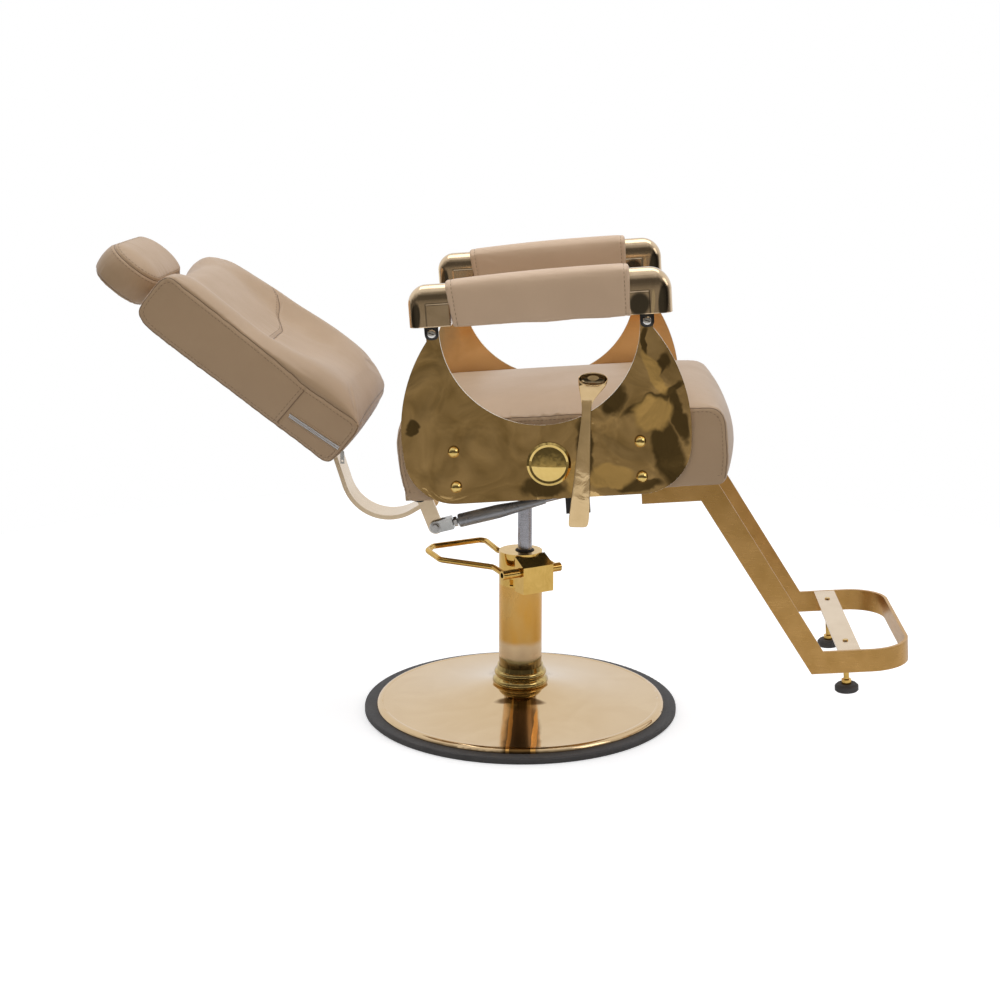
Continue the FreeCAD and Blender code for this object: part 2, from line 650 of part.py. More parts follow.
# Pedal: a tube axle and one bent wire that runs round the pump head
def make_pedal():
    pedal = body("pedal")
    ring = sketch(pedal, "YZ_Plane")
    circle(ring, "0", "0", "axle_radius")
    pad(pedal, ring, "axle_length", midplane=True)
    route = sketch(pedal, "XY_Plane")
    bent_path(route, [("-arm_place", "0"), ("-arm_place", "wire_run"), ("-loop_out", "loop_start"),
                      ("-loop_out", "loop_turn"), ("-loop_tip", "loop_far"),
                      ("loop_slant", "loop_far - loop_slant"), ("-loop_slant", "loop_close"),
                      ("arm_place", "wire_back"), ("arm_place", "0")], ["wire_bend"] * 7)
    section = sketch(pedal, "XZ_Plane")
    circle(section, "-arm_place", "0", "wire_radius")
    pipe = pedal.newObject("PartDesign::AdditivePipe", "Wire")
    pipe.Profile = section
    pipe.Spine = (route, [])
    bore = sketch(pedal, "YZ_Plane")
    circle(bore, "0", "0", "axle_bore")
    pocket(pedal, bore, "2 * axle_length", midplane=True)
    place(pedal, "pedal")


# Seat
def make_seat():
    hub = rod("hub_post", "z", "ram_shoulder", "hub_top - ram_shoulder", "ram_x", "0", "hub_radius")
    deck = box("hub_deck", "deck_rear", "deck_front", "-deck_half", "deck_half", "0", "deck_thick")
    bind(deck, "Placement", FRAMES["seat"]
         + " * placement(vector(deck_rear; -deck_half; 0); rotation(vector(0; 0; 1); 0))")
    bore_depth = "ram_top - ram_shoulder + 1 + bore_relief"
    neck = rod("hub_bore", "z", "ram_shoulder - 1", bore_depth, "ram_x", "0",
               "ram_neck + run_fit")
    tools = [neck]
    bolts = []
    for x in ("deck_rear + 18", "deck_front - 32"):
        for y in ("18 - deck_half", "deck_half - 18"):
            hole = rod("deck_hole", "z", "-5", "deck_thick + 10", x, y, "4 + hole_gap")
            bind(hole, "Placement", FRAMES["seat"]
                 + " * placement(vector(%s; %s; -5); rotation(vector(0; 0; 1); 0))" % (x, y))
            tools.append(hole)
            shank = rod("deck_shank", "z", "-1", "deck_thick + 13", x, y, "4")
            head = rod("deck_head", "z", "-5", "5", x, y, "7")
            bolts.append(joined("deck_bolt", [shank, head]))
    plate = cut("swivel_hub", joined("hub_blank", [hub, deck]), tools)
    keep(plate, "swivel_hub")
    place(plate, "floor")
    place(group("deck_bolts", bolts), "seat")

    tray = body("seat_frame")
    board = sketch(tray, "XY_Plane", "deck_thick")
    rectangle(board, "tray_rear", "-tray_half", "tray_front", "tray_half")
    pad(tray, board, "board_thick")
    cheek = sketch(tray, "XZ_Plane", "tray_half - board_thick")
    rectangle(cheek, "tray_rear", "deck_thick + board_thick", "tray_front - 20", "cheek_top")
    wall = pad(tray, cheek, "board_thick")
    mirrored(tray, [wall], "XZ_Plane")
    fixings = sketch(tray, "XZ_Plane")
    for x in ("panel_mid - stud_reach", "panel_mid + stud_reach"):
        for z in ("stud_low", "stud_high"):
            circle(fixings, x, z, "stud_radius + hole_gap")
    pocket(tray, fixings, "4 * tray_half", midplane=True)
    screws = sketch(tray, "XY_Plane", "deck_thick - 1")
    for x in ("deck_rear + 18", "deck_front - 32"):
        for y in ("18 - deck_half", "deck_half - 18"):
            circle(screws, x, y, "4 + hole_gap")
    for x in ("foot_rear + 19", "foot_rear + 79"):
        for y in ("-foot_half / 2", "foot_half / 2"):
            circle(screws, x, y, "4 + hole_gap")
    pocket(tray, screws, "14", reverse=True)
    place(tray, "seat")

    cushion = body("seat_cushion")
    low = "deck_thick + soft_gap"
    # Across the seat: place, seam inset, crown share and bulge share of each side outline
    profiles = []
    for across, inset, rise, bulge in ((-1, 6, 0, 0.25), (-0.95, 0, 0.35, 0.55), (-0.6, -3, 0.85, 0.9),
                                       (0, -4, 1, 1), (0.6, -3, 0.85, 0.9), (0.95, 0, 0.35, 0.55),
                                       (1, 6, 0, 0.25)):
        item = sketch(cushion, "XZ_Plane", "-seat_half * %s" % across)
        top = "seat_seam + (seat_crown - seat_seam) * %s" % rise
        rear = "seat_rear + %s" % inset
        front = "seat_front - %s" % inset
        outline(item, [
            (rear + " + 4", low, rear + " - seat_bulge * %s" % bulge, "seat_seam * 0.5"),
            (rear + " + 6", top + " - 28", rear + " + 13", top + " - 9"),
            (rear + " + 34", top, "panel_mid", top + " + 3"),
            (front + " - 55", top + " - 3", front + " - 22", top + " - 10"),
            (front + " - 4", top + " - 34", front + " + seat_bulge * %s" % bulge, "seat_seam * 0.42"),
            (front + " - 2", low)])
        profiles.append(item)
    loft(cushion, profiles)
    well = sketch(cushion, "XY_Plane", "deck_thick - 2")
    rectangle(well, "tray_rear - soft_gap", "-tray_half - soft_gap", "tray_front + soft_gap",
              "tray_half + soft_gap")
    pocket(cushion, well, "board_thick + 2 + soft_gap", reverse=True)
    slots = sketch(cushion, "XY_Plane", "deck_thick - 2")
    for side in (-1, 1):
        middle = "%d * (tray_half - board_thick / 2)" % side
        rectangle(slots, "tray_rear - soft_gap", middle + " - board_thick / 2 - soft_gap",
                  "tray_front - 20 + soft_gap", middle + " + board_thick / 2 + soft_gap")
    pocket(cushion, slots, "cheek_top - deck_thick + 2 + soft_gap", reverse=True)
    ports = sketch(cushion, "XZ_Plane")
    for x in ("panel_mid - stud_reach", "panel_mid + stud_reach"):
        for z in ("stud_low", "stud_high"):
            circle(ports, x, z, "spacer_radius + soft_gap")
    pocket(cushion, ports, "4 * tray_half", midplane=True)
    place(cushion, "seat")


# Side plates with their studs, spacers and dome nuts
def make_side_plates():
    for name, side in (("side_plate_right", -1), ("side_plate_left", 1)):
        panel = body(name)
        item = sketch(panel, "XZ_Plane")
        neck = "bay_radius + 2 + tab_width"
        corner = "panel_corner"
        bend = "0.7071 * panel_corner"
        outline(item, [
            ("-bay_radius - 2", "tab_top"), ("-bay_radius", "bay_centre", "0",
                                             "bay_centre - bay_radius"),
            ("bay_radius", "bay_centre"), ("bay_radius + 2", "tab_top"), (neck, "tab_top"),
            (neck, "bay_centre - 15", "panel_half - 19", "panel_bottom + 221"),
            ("panel_half", "panel_bottom + " + corner, "panel_half - %s + %s" % (corner, bend),
             "panel_bottom + %s - %s" % (corner, bend)),
            ("panel_half - " + corner, "panel_bottom"),
            (corner + " - panel_half", "panel_bottom", "%s - panel_half - %s" % (corner, bend),
             "panel_bottom + %s - %s" % (corner, bend)),
            ("-panel_half", "panel_bottom + " + corner, "19 - panel_half", "panel_bottom + 221"),
            ("-bay_radius - 2 - tab_width", "bay_centre - 15"),
            ("-bay_radius - 2 - tab_width", "tab_top")])
        pad(panel, item, "panel_thick", midplane=True)
        holes = sketch(panel, "XZ_Plane")
        for x in ("-stud_reach", "stud_reach"):
            for z in ("stud_low", "stud_high"):
                circle(holes, x, z, "stud_radius + hole_gap")
        for x in ("-screw_reach", "screw_reach"):
            circle(holes, x, "screw_height", "screw_radius + hole_gap")
        pocket(panel, holes, "4 * panel_thick", midplane=True)
        place(panel, "seat", "panel_mid", "%d * (panel_gap + panel_thick / 2)" % side, 0)

    studs = []
    nuts = []
    outer = "panel_gap + panel_thick"
    for side in (-1, 1):
        for x in ("panel_mid - stud_reach", "panel_mid + stud_reach"):
            for z in ("stud_low", "stud_high"):
                start = "tray_half - board_thick - 8" if side > 0 else "-(%s) - 8" % outer
                length = "%s + 8 - tray_half + board_thick + 8" % outer
                shank = rod("stud_shank", "y", start, length, x, z, "stud_radius")
                begin = "tray_half" if side > 0 else "-panel_gap"
                spacer = rod("stud_spacer", "y", begin, "panel_gap - tray_half", x, z, "spacer_radius")
                studs.append(joined("stud", [shank, spacer]))
                nuts.append(dome_nut(side, x, z, outer))
    place(group("plate_studs", studs), "seat")
    place(group("dome_nuts", nuts), "seat")

    boss = turned("side_boss", [
        ("0", "0"), ("boss_radius", "0"), ("boss_radius", "boss_proud * 0.3"),
        ("boss_radius - 4", "boss_proud * 0.55"), ("boss_radius - 8", "boss_proud * 0.4",
                                                   "boss_radius / 2 - 4", "boss_proud * 0.853"),
        ("2", "boss_proud"), ("0", "boss_proud")])
    place(boss, "seat", "panel_mid + 2", "-panel_gap - panel_thick", "boss_height", (1, 0, 0), 90)


def dome_nut(side, x, z, outer):
    """Ball-topped nut over the end of a stud."""
    start = outer if side > 0 else "-(%s) - nut_collar" % outer
    collar = rod("nut_collar_ring", "y", start, "nut_collar", x, z, "nut_radius")
    ball = doc.addObject("Part::Sphere", "nut_ball")
    bind(ball, "Radius", "nut_radius")
    bind(ball, "Placement",
         "placement(vector(%s; %d * (%s + nut_collar); %s); rotation(vector(0; 0; 1); 0))"
         % (x, side, outer, z))
    skirt_start = outer + " - 2 * nut_radius" if side > 0 else "-(%s)" % outer
    skirt = rod("nut_skirt", "y", skirt_start, "2 * nut_radius", x, z, "2 * nut_radius")
    hole_start = outer + " - 1" if side > 0 else "-(%s) - 8.5" % outer
    hole = rod("nut_hole", "y", hole_start, "9.5", x, z, "stud_radius + hole_gap")
    return cut("dome_nut", joined("nut_blank", [collar, ball]), [skirt, hole])


# Armrests: polished end caps, a wooden rail and an upholstered sleeve
def make_arms():
    brackets = []
    screws = []
    for hand, side in (("right", -1), ("left", 1)):
        middle = "%d * arm_centre" % side
        for end in ("rear", "front"):
            arm_cap("arm_cap_%s_%s" % (hand, end), end, middle)
        rail = box("arm_rail_" + hand, "rail_rear", "rail_front", "-rail_half", "rail_half", "0",
                   "rail_high - rail_low")
        keep(rail, "arm_rail_" + hand)
        place(rail, "seat", "rail_rear", middle + " - rail_half", "rail_low")
        arm_pad("arm_pad_" + hand, middle)
        for reach in ("panel_mid - screw_reach", "panel_mid + screw_reach"):
            near_face = "%d * panel_gap" % side
            away = "%d * (panel_gap - strap_thick)" % side
            leg_low, leg_high = (away, near_face) if side > 0 else (near_face, away)
            leg = box("strap_leg", reach + " - 9", reach + " + 9", leg_low, leg_high, "strap_low",
                      "rail_low")
            toe_end = "%d * (arm_centre + 8)" % side
            toe_low, toe_high = (away, toe_end) if side > 0 else (toe_end, away)
            toe = box("strap_toe", reach + " - 9", reach + " + 9", toe_low, toe_high,
                      "rail_low - strap_thick", "rail_low")
            hole = rod("strap_hole", "y", "-2 * panel_gap", "4 * panel_gap", reach, "screw_height",
                       "screw_radius + hole_gap")
            brackets.append(cut("strap", joined("strap_blank", [leg, toe]), [hole]))
            outer = "panel_gap + panel_thick"
            head_start = outer if side > 0 else "-(%s) - 3" % outer
            shank_start = "panel_gap - strap_thick - 2" if side > 0 else "-(%s) - 1" % outer
            head = rod("screw_cap", "y", head_start, "3", reach, "screw_height", "screw_head")
            shank = rod("screw_shank", "y", shank_start, "panel_thick + strap_thick + 3", reach,
                        "screw_height",
                        "screw_radius")
            drive_start = outer + " + 1.8" if side > 0 else "-(%s) - 4" % outer
            drive = rod("screw_drive", "y", drive_start, "2.2", reach, "screw_height", "2.5")
            screws.append(cut("arm_screw", joined("screw_blank", [head, shank]), [drive]))
    place(group("arm_brackets", brackets), "seat")
    place(group("arm_screws", screws), "seat")


def arm_cap(name, end, middle):
    cap = body(name)
    nose, top, joint = ("cap_rear_end", "cap_rear_top", "pad_rear")
    turn = 1
    if end == "front":
        nose, top, joint = ("cap_front_end", "cap_front_top", "pad_front")
        turn = -1
    bend = "%d * cap_nose" % turn
    slant = "cap_nose * 0.2929"
    item = sketch(cap, "XZ_Plane")
    outline(item, [
        (joint, "cap_low"), (nose, "cap_low"),
        (nose, top + " - cap_nose", nose + " + %d * " % turn + slant, top + " - " + slant),
        (nose + " + " + bend, top), (joint, top + " + %d" % turn)])
    block = pad(cap, item, "2 * cap_half", midplane=True)
    doc.recompute()
    # The long upper and nose edges of both flanks are rounded
    chosen = []
    for number, edge in enumerate(block.Shape.Edges, start=1):
        ys = [vertex.Point.y for vertex in edge.Vertexes]
        flank = all(abs(abs(y) - size("cap_half")) < 1e-6 for y in ys) and ys[0] * ys[-1] > 0
        inner = all(abs(vertex.Point.x - size(joint)) < 1e-6 for vertex in edge.Vertexes)
        under = all(abs(vertex.Point.z - size("cap_low")) < 1e-6 for vertex in edge.Vertexes)
        if flank and not inner and not under:
            chosen.append("Edge%d" % number)
    rounding = cap.newObject("PartDesign::Fillet", "Rounding")
    rounding.Base = (block, chosen)
    bind(rounding, "Radius", "cap_edge")
    inside = sketch(cap, "XZ_Plane")
    shift = "%d * cap_wall" % turn
    outline(inside, [
        (joint + " + %d" % turn, "cap_low - 1"), (nose + " + " + shift, "cap_low - 1"),
        (nose + " + " + shift, top + " - cap_nose"),
        (nose + " + %d * (cap_nose + 2)" % turn, top + " - cap_wall - 5"),
        (joint + " + %d" % turn, top + " - cap_wall - 5")])
    pocket(cap, inside, "2 * (cap_half - cap_wall - 2)", midplane=True)
    place(cap, "seat", 0, middle, 0)


def arm_pad(name, middle):
    sleeve = body(name)
    profiles = []
    for share, swell in ((0, -0.6), (0.02, 0), (0.3, 0.85), (0.55, 1), (0.8, 0.75), (0.98, 0),
                         (1, -0.6)):
        along = "pad_rear + soft_gap + (pad_front - pad_rear - 2 * soft_gap) * %s" % share
        top = "pad_rear_top + (pad_front_top - pad_rear_top) * %s + pad_swell * %s" % (share, swell)
        half = "pad_half + 0.4 * pad_swell * %s" % swell
        item = sketch(sleeve, "YZ_Plane", along)
        outline(item, [
            ("4 - (%s)" % half, "arm_height"), (half + " - 4", "arm_height", half + " - 0.6",
                                                "arm_height + 1"),
            (half, "arm_height + 6"), (half, top + " - 28", "0.72 * (%s)" % half, top + " - 8"),
            ("0", top, "-0.72 * (%s)" % half, top + " - 8"),
            ("-(%s)" % half, top + " - 28"), ("-(%s)" % half, "arm_height + 6", "0.6 - (%s)" % half,
                                              "arm_height + 1")])
        profiles.append(item)
    loft(sleeve, profiles)
    well = sketch(sleeve, "YZ_Plane")
    rectangle(well, "-rail_half - soft_gap", "rail_low - soft_gap", "rail_half + soft_gap",
              "rail_high + soft_gap")
    pocket(sleeve, well, "4 * pad_front", midplane=True)
    place(sleeve, "seat", 0, middle, 0)


# Footrest: two cranked flat bars, a bent loop, a tread strap and two glides
def make_footrest():
    frame = body("footrest_frame")
    inner = "foot_half - foot_bar_thick"
    side = sketch(frame, "XZ_Plane", inner)
    outline(side, [
        ("foot_rear", "deck_thick"), ("foot_rear", "deck_thick - foot_bar"),
        ("foot_knee", "deck_thick - foot_bar"), ("foot_heel", "-foot_drop"),
        ("foot_heel + 54", "-foot_drop"),
        ("foot_heel + 54", "foot_bar - foot_drop"), ("foot_heel + 22", "foot_bar - foot_drop"),
        ("foot_knee + 25", "deck_thick")])
    bar = pad(frame, side, "foot_bar_thick")
    mirrored(frame, [bar], "XZ_Plane")
    bow = sketch(frame, "XY_Plane", "-foot_drop")
    arc = "foot_corner * 0.2929"
    inner_arc = "foot_bar_thick + (foot_corner - foot_bar_thick) * 0.2929"
    start = "foot_heel + 40"
    outline(bow, [
        (start, "-foot_half"),
        ("foot_front - foot_corner", "-foot_half", "foot_front - " + arc, arc + " - foot_half"),
        ("foot_front", "foot_corner - foot_half"),
        ("foot_front", "foot_half - foot_corner", "foot_front - " + arc, "foot_half - " + arc),
        ("foot_front - foot_corner", "foot_half"), (start, "foot_half"), (start, inner),
        ("foot_front - foot_corner", inner, "foot_front - (%s)" % inner_arc,
         "foot_half - (%s)" % inner_arc),
        ("foot_front - foot_bar_thick", "foot_half - foot_corner"),
        ("foot_front - foot_bar_thick", "foot_corner - foot_half", "foot_front - (%s)" % inner_arc,
         "%s - foot_half" % inner_arc),
        ("foot_front - foot_corner", "-(%s)" % inner), (start, "-(%s)" % inner)])
    pad(frame, bow, "foot_bar")
    shelf = sketch(frame, "XY_Plane", "deck_thick - 5")
    rectangle(shelf, "foot_rear + 4", "-(%s) - 1" % inner, "foot_rear + 94", inner + " + 1")
    pad(frame, shelf, "5")
    holes = sketch(frame, "XY_Plane", "deck_thick - 6")
    bolts = []
    for x in ("foot_rear + 19", "foot_rear + 79"):
        for y in ("-foot_half / 2", "foot_half / 2"):
            circle(holes, x, y, "4 + hole_gap")
            shank = rod("foot_shank", "z", "deck_thick - 6", "18", x, y, "4")
            head = rod("foot_head", "z", "deck_thick - 10", "5", x, y, "7")
            bolts.append(joined("foot_bolt", [shank, head]))
    pocket(frame, holes, "8", reverse=True)
    place(frame, "seat")
    place(group("footrest_bolts", bolts), "seat")

    tread = body("tread_strap")
    flat = sketch(tread, "XY_Plane", "foot_bar - foot_drop - tread_thick")
    rectangle(flat, "tread_rear", "-(%s)" % inner, "tread_rear + tread_width", inner)
    pad(tread, flat, "tread_thick")
    threads = sketch(tread, "XY_Plane", "foot_bar - foot_drop - 2 * tread_thick")
    for y in ("-glide_half", "glide_half"):
        circle(threads, "tread_rear + tread_width / 2", y, "stem_radius + run_fit")
    pocket(tread, threads, "4 * tread_thick", reverse=True)
    place(tread, "seat")

    for hand, side in (("right", -1), ("left", 1)):
        reach = "foot_bar - foot_drop + glide_drop + 2"
        stem = turned("foot_stem_" + hand, [
            ("0", "glide_thick - 5"), ("stem_collar", "glide_thick - 5"),
            ("stem_collar", "glide_thick + 8"),
            ("stem_radius", "glide_thick + 8"), ("stem_radius", reach), ("0", reach)])
        place(stem, "seat", "tread_rear + tread_width / 2", "%d * glide_half" % side, "-glide_drop")
        glide = turned("foot_pad_" + hand, [
            ("0", "0"), ("glide_radius - 2", "0"), ("glide_radius", "2"),
            ("glide_radius", "glide_thick - 4"),
            ("glide_radius - 4", "glide_thick"), ("stem_collar + hole_gap", "glide_thick"),
            ("stem_collar + hole_gap", "glide_thick - 5"), ("0", "glide_thick - 5")])
        place(glide, "seat", "tread_rear + tread_width / 2", "%d * glide_half" % side, "-glide_drop")


# Recline hinge under the rear of the seat
def make_hinge():
    ears = []
    # The hinge in the seat's own directions
    u = "hinge_x * cos(seat_tilt) + (hinge_z - deck_height) * sin(seat_tilt)"
    w = "(hinge_z - deck_height) * cos(seat_tilt) - hinge_x * sin(seat_tilt)"
    for side in (-1, 1):
        start = "hinge_half + 2" if side > 0 else "-hinge_half - 2 - ear_thick"
        ears.append(rod("ear_round", "y", start, "ear_thick", u, w, "hinge_tube + 3"))
        ears.append(box("ear_web", u + " - hinge_tube - 3", u + " + hinge_tube + 3", start,
                        start + " + ear_thick", w, "deck_thick - 5"))
    flange = box("ear_flange", "tray_rear", "tray_rear + 62", "-hinge_half - 24", "hinge_half + 24",
                 "deck_thick - 5", "deck_thick")
    hole = rod("ear_hole", "y", "-2 * hinge_half", "4 * hinge_half", u, w,
               "hinge_pin_radius + hole_gap")
    bracket = cut("hinge_bracket", joined("ear_blank", ears + [flange]), [hole])
    keep(bracket, "hinge_bracket")
    place(bracket, "seat")

    pin = turned("hinge_pin", [
        ("0", "-hinge_half - 16"), ("hinge_pin_radius + 4", "-hinge_half - 16"),
        ("hinge_pin_radius + 4", "-hinge_half - 10"), ("hinge_pin_radius", "-hinge_half - 10"),
        ("hinge_pin_radius", "hinge_half + 12"), ("0", "hinge_half + 12")])
    place(pin, "floor", "hinge_x", 0, "hinge_z", (1, 0, 0), -90)

    # Lock anchor on the seat board, a fork with its pin
    ax = "pin_x + lock_length * cos(lock_slope)"
    az = "pin_z + lock_length * sin(lock_slope) - deck_height"
    u = "(%s) * cos(seat_tilt) + (%s) * sin(seat_tilt)" % (ax, az)
    w = "(%s) * cos(seat_tilt) - (%s) * sin(seat_tilt)" % (az, ax)
    cheeks = []
    for offset in ("-12", "8"):
        start = "lock_y + " + offset
        cheeks.append(rod("anchor_round", "y", start, "4", u, w, "12"))
        cheeks.append(box("anchor_web", u + " - 12", u + " + 12", start, start + " + 4", w,
                          "deck_thick - 4"))
    foot = box("anchor_foot", u + " - 22", u + " + 22", "lock_y - 26", "lock_y + 26", "deck_thick - 4",
               "deck_thick")
    hole = rod("anchor_hole", "y", "lock_y - 40", "80", u, w, "clevis_pin + hole_gap")
    anchor = cut("lock_anchor", joined("anchor_blank", cheeks + [foot]), [hole])
    keep(anchor, "lock_anchor")
    place(anchor, "seat")
    shank = rod("anchor_shank", "y", "lock_y - 16", "31", u, w, "clevis_pin")
    cap = rod("anchor_cap", "y", "lock_y - 19", "5", u, w, "clevis_pin + 3")
    pin = keep(joined("anchor_pin", [shank, cap]), "anchor_pin")
    place(pin, "seat")


BAR_BOLTS = ("-bar_bolt_half", "bar_bolt_half")


# Backrest: bent flat bar with its hinge tube and cranks, board, cushion, headrest guide
def make_backrest():
    strip = body("bar_strip")
    SUBPARTS.pop("bar_strip")
    route = sketch(strip, "XZ_Plane")
    corners = [("-bar_root_back", "-bar_root_drop"), ("-bar_reach", "bar_bend_rise"),
               ("back_rear - bar_thick / 2", "bar_foot"), ("back_rear - bar_thick / 2", "bar_end")]
    bent_path(route, corners, ["bar_bend", "bar_upper_bend"])
    section = sketch(strip, "YZ_Plane", "0")
    place_section(section, corners)
    rectangle(section, "-bar_width / 2", "-bar_thick / 2", "bar_width / 2", "bar_thick / 2")
    pipe = strip.newObject("PartDesign::AdditivePipe", "Bar")
    pipe.Profile = section
    pipe.Spine = (route, [])
    holes = sketch(strip, "YZ_Plane")
    for y in BAR_BOLTS:
        for z in ("bar_end - bar_bolt_lift - bar_bolt_pitch", "bar_end - bar_bolt_lift"):
            circle(holes, y, z, "4 + hole_gap")
    pocket(strip, holes, "100")

    # The clevis pin seen from the hinge, along and across the back
    px = "(pin_x - hinge_x) * sin(back_angle) + (pin_z - hinge_z) * cos(back_angle)"
    pz = "(pin_z - hinge_z) * sin(back_angle) - (pin_x - hinge_x) * cos(back_angle)"
    cranks = body("crank_plates")
    SUBPARTS.pop("crank_plates")
    near_plate = sketch(cranks, "XZ_Plane", "-lock_y - crank_thick / 2")
    crank_outline(near_plate, px, pz)
    pad(cranks, near_plate, "crank_thick")
    far_plate = sketch(cranks, "XZ_Plane", "lock_y - crank_thick / 2")
    crank_outline(far_plate, "0.5 * (%s)" % px, "0.5 * (%s)" % pz)
    pad(cranks, far_plate, "crank_thick")
    tube = rod("hinge_sleeve", "y", "-hinge_half", "2 * hinge_half", "0", "0", "hinge_tube")
    bore = rod("sleeve_bore", "y", "-2 * hinge_half", "4 * hinge_half", "0", "0",
               "hinge_pin_radius + run_fit")
    eye = rod("crank_eye", "y", "lock_y - 20", "40", px, pz, "clevis_pin + run_fit")
    bracket = cut("recline_bracket", joined("bracket_blank", [strip, cranks, tube]), [bore, eye])
    keep(bracket, "recline_bracket")
    place(bracket, "back")

    bolts = []
    for y in BAR_BOLTS:
        for z in ("bar_end - bar_bolt_lift - bar_bolt_pitch", "bar_end - bar_bolt_lift"):
            shank = rod("back_shank", "x", "back_rear - bar_thick - 1", "bar_thick + 11", y, z, "4")
            head = rod("back_head", "x", "back_rear - bar_thick - 5", "5", y, z, "7")
            bolts.append(joined("back_bolt", [shank, head]))
    place(group("bracket_bolts", bolts), "back")

    board = body("back_board")
    item = sketch(board, "YZ_Plane", "back_rear")
    rectangle(item, "26 - back_half", "back_low + 16", "back_half - 26", "back_high - 20")
    pad(board, item, "back_board_thick")
    holes = sketch(board, "YZ_Plane", "back_rear - 1")
    for y in BAR_BOLTS:
        for z in ("bar_end - bar_bolt_lift - bar_bolt_pitch", "bar_end - bar_bolt_lift"):
            circle(holes, y, z, "4 + hole_gap")
    pocket(board, holes, "12.5", reverse=True)
    place(board, "back")

    cushion = body("back_cushion")
    profiles = []
    # Across the back: place, seam inset, rise over the seam, length added at the lower and upper end
    halves = ((1, 5, "0.04 * bolster_rise", -8, -8), (0.96, 0, "0.62 * bolster_rise", -2, 1),
              (0.84, 0, "bolster_rise", 0, 8), (0.62, 0, "bolster_rise - 0.3 * dish_depth", -2, 9),
              (0.3, 0, "bolster_rise - 0.85 * dish_depth", -4, 6))
    stations = [(-half[0],) + half[1:] for half in halves]
    stations += [(0, 0, "bolster_rise - dish_depth", -4, 4)] + list(reversed(halves))
    for across, inset, rise, below, above in stations:
        item = sketch(cushion, "XZ_Plane", "-back_half * %s" % across)
        front = "back_seam - %s" % inset
        rear = "back_rear + %s" % inset
        low = "back_low - (%s)" % below
        high = "back_high + (%s)" % above
        crest = "%s + %s" % (front, rise)
        outline(item, [
            (rear, low + " + 24", rear + " + 5", low + " + 9"),
            (rear + " + 22", low + " + 2", "(%s + %s) / 2" % (rear, front), low + " - 4"),
            (front + " - 20", low + " + 4", "%s - 5 + 0.2 * (%s)" % (front, rise), low + " + 9"),
            ("%s + 0.55 * (%s)" % (front, rise), low + " + 26", "%s + 0.88 * (%s)" % (front, rise),
             low + " + 58"),
            (crest, low + " + 105", "%s + 0.47 * (%s) + 1" % (front, rise),
             "(%s + %s) / 2 + 55" % (low, high)),
            ("%s - 0.12 * (%s)" % (front, rise), high + " - 34", front + " - 10", high + " - 12"),
            (front + " - 28", high, "(%s + %s) / 2 - 2" % (rear, front), high + " + 3"),
            (rear + " + 20", high + " - 2", rear + " + 5", high + " - 9"),
            (rear, high + " - 24")])
        profiles.append(item)
    loft(cushion, profiles)
    well = sketch(cushion, "YZ_Plane", "back_rear - 4")
    rectangle(well, "26 - back_half - soft_gap", "back_low + 16 - soft_gap",
              "back_half - 26 + soft_gap",
              "back_high - 20 + soft_gap")
    pocket(cushion, well, "back_board_thick + 4 + soft_gap", reverse=True)
    place(cushion, "back")

    # Guide on the rear of the board, a block with a slot for the post
    block = box("guide_block", "back_rear - 36", "back_rear", "-post_half - 12", "post_half + 12",
                "back_high - 88", "back_high - 28")
    slot = box("guide_slot", "rest_rear - post_thick - run_fit", "rest_rear + run_fit",
               "-post_half - run_fit", "post_half + run_fit", "back_high - 100", "back_high")
    guide = keep(cut("headrest_guide", block, [slot]), "headrest_guide")
    place(guide, "back")


def crank_outline(item, x, z):
    """Plate with round ends between the hinge and a pin at (x, z)."""
    length = "sqrt((%s) ^ 2 + (%s) ^ 2)" % (x, z)
    ux = "((%s) / (%s))" % (x, length)
    uz = "((%s) / (%s))" % (z, length)
    side = "crank_radius"
    outline(item, [
        ("-%s * %s" % (side, uz), "%s * %s" % (side, ux), "-%s * %s" % (side, ux),
         "-%s * %s" % (side, uz)),
        ("%s * %s" % (side, uz), "-%s * %s" % (side, ux)),
        ("%s + %s * %s" % (x, side, uz), "%s - %s * %s" % (z, side, ux),
         "%s + %s * %s" % (x, side, ux), "%s + %s * %s" % (z, side, uz)),
        ("%s - %s * %s" % (x, side, uz), "%s + %s * %s" % (z, side, ux))])


def place_section(section, corners):
    """Turns the bar's section square to the first run of its route."""
    (x0, z0), (x1, z1) = corners[:2]
    lean = "atan2((%s) - (%s); (%s) - (%s))" % (z1, z0, x1, x0)
    bind(section, "AttachmentOffset",
         "placement(vector(0; %s; %s); rotation(vector(1; 0; 0); -(%s)))" % (z0, x0, lean))


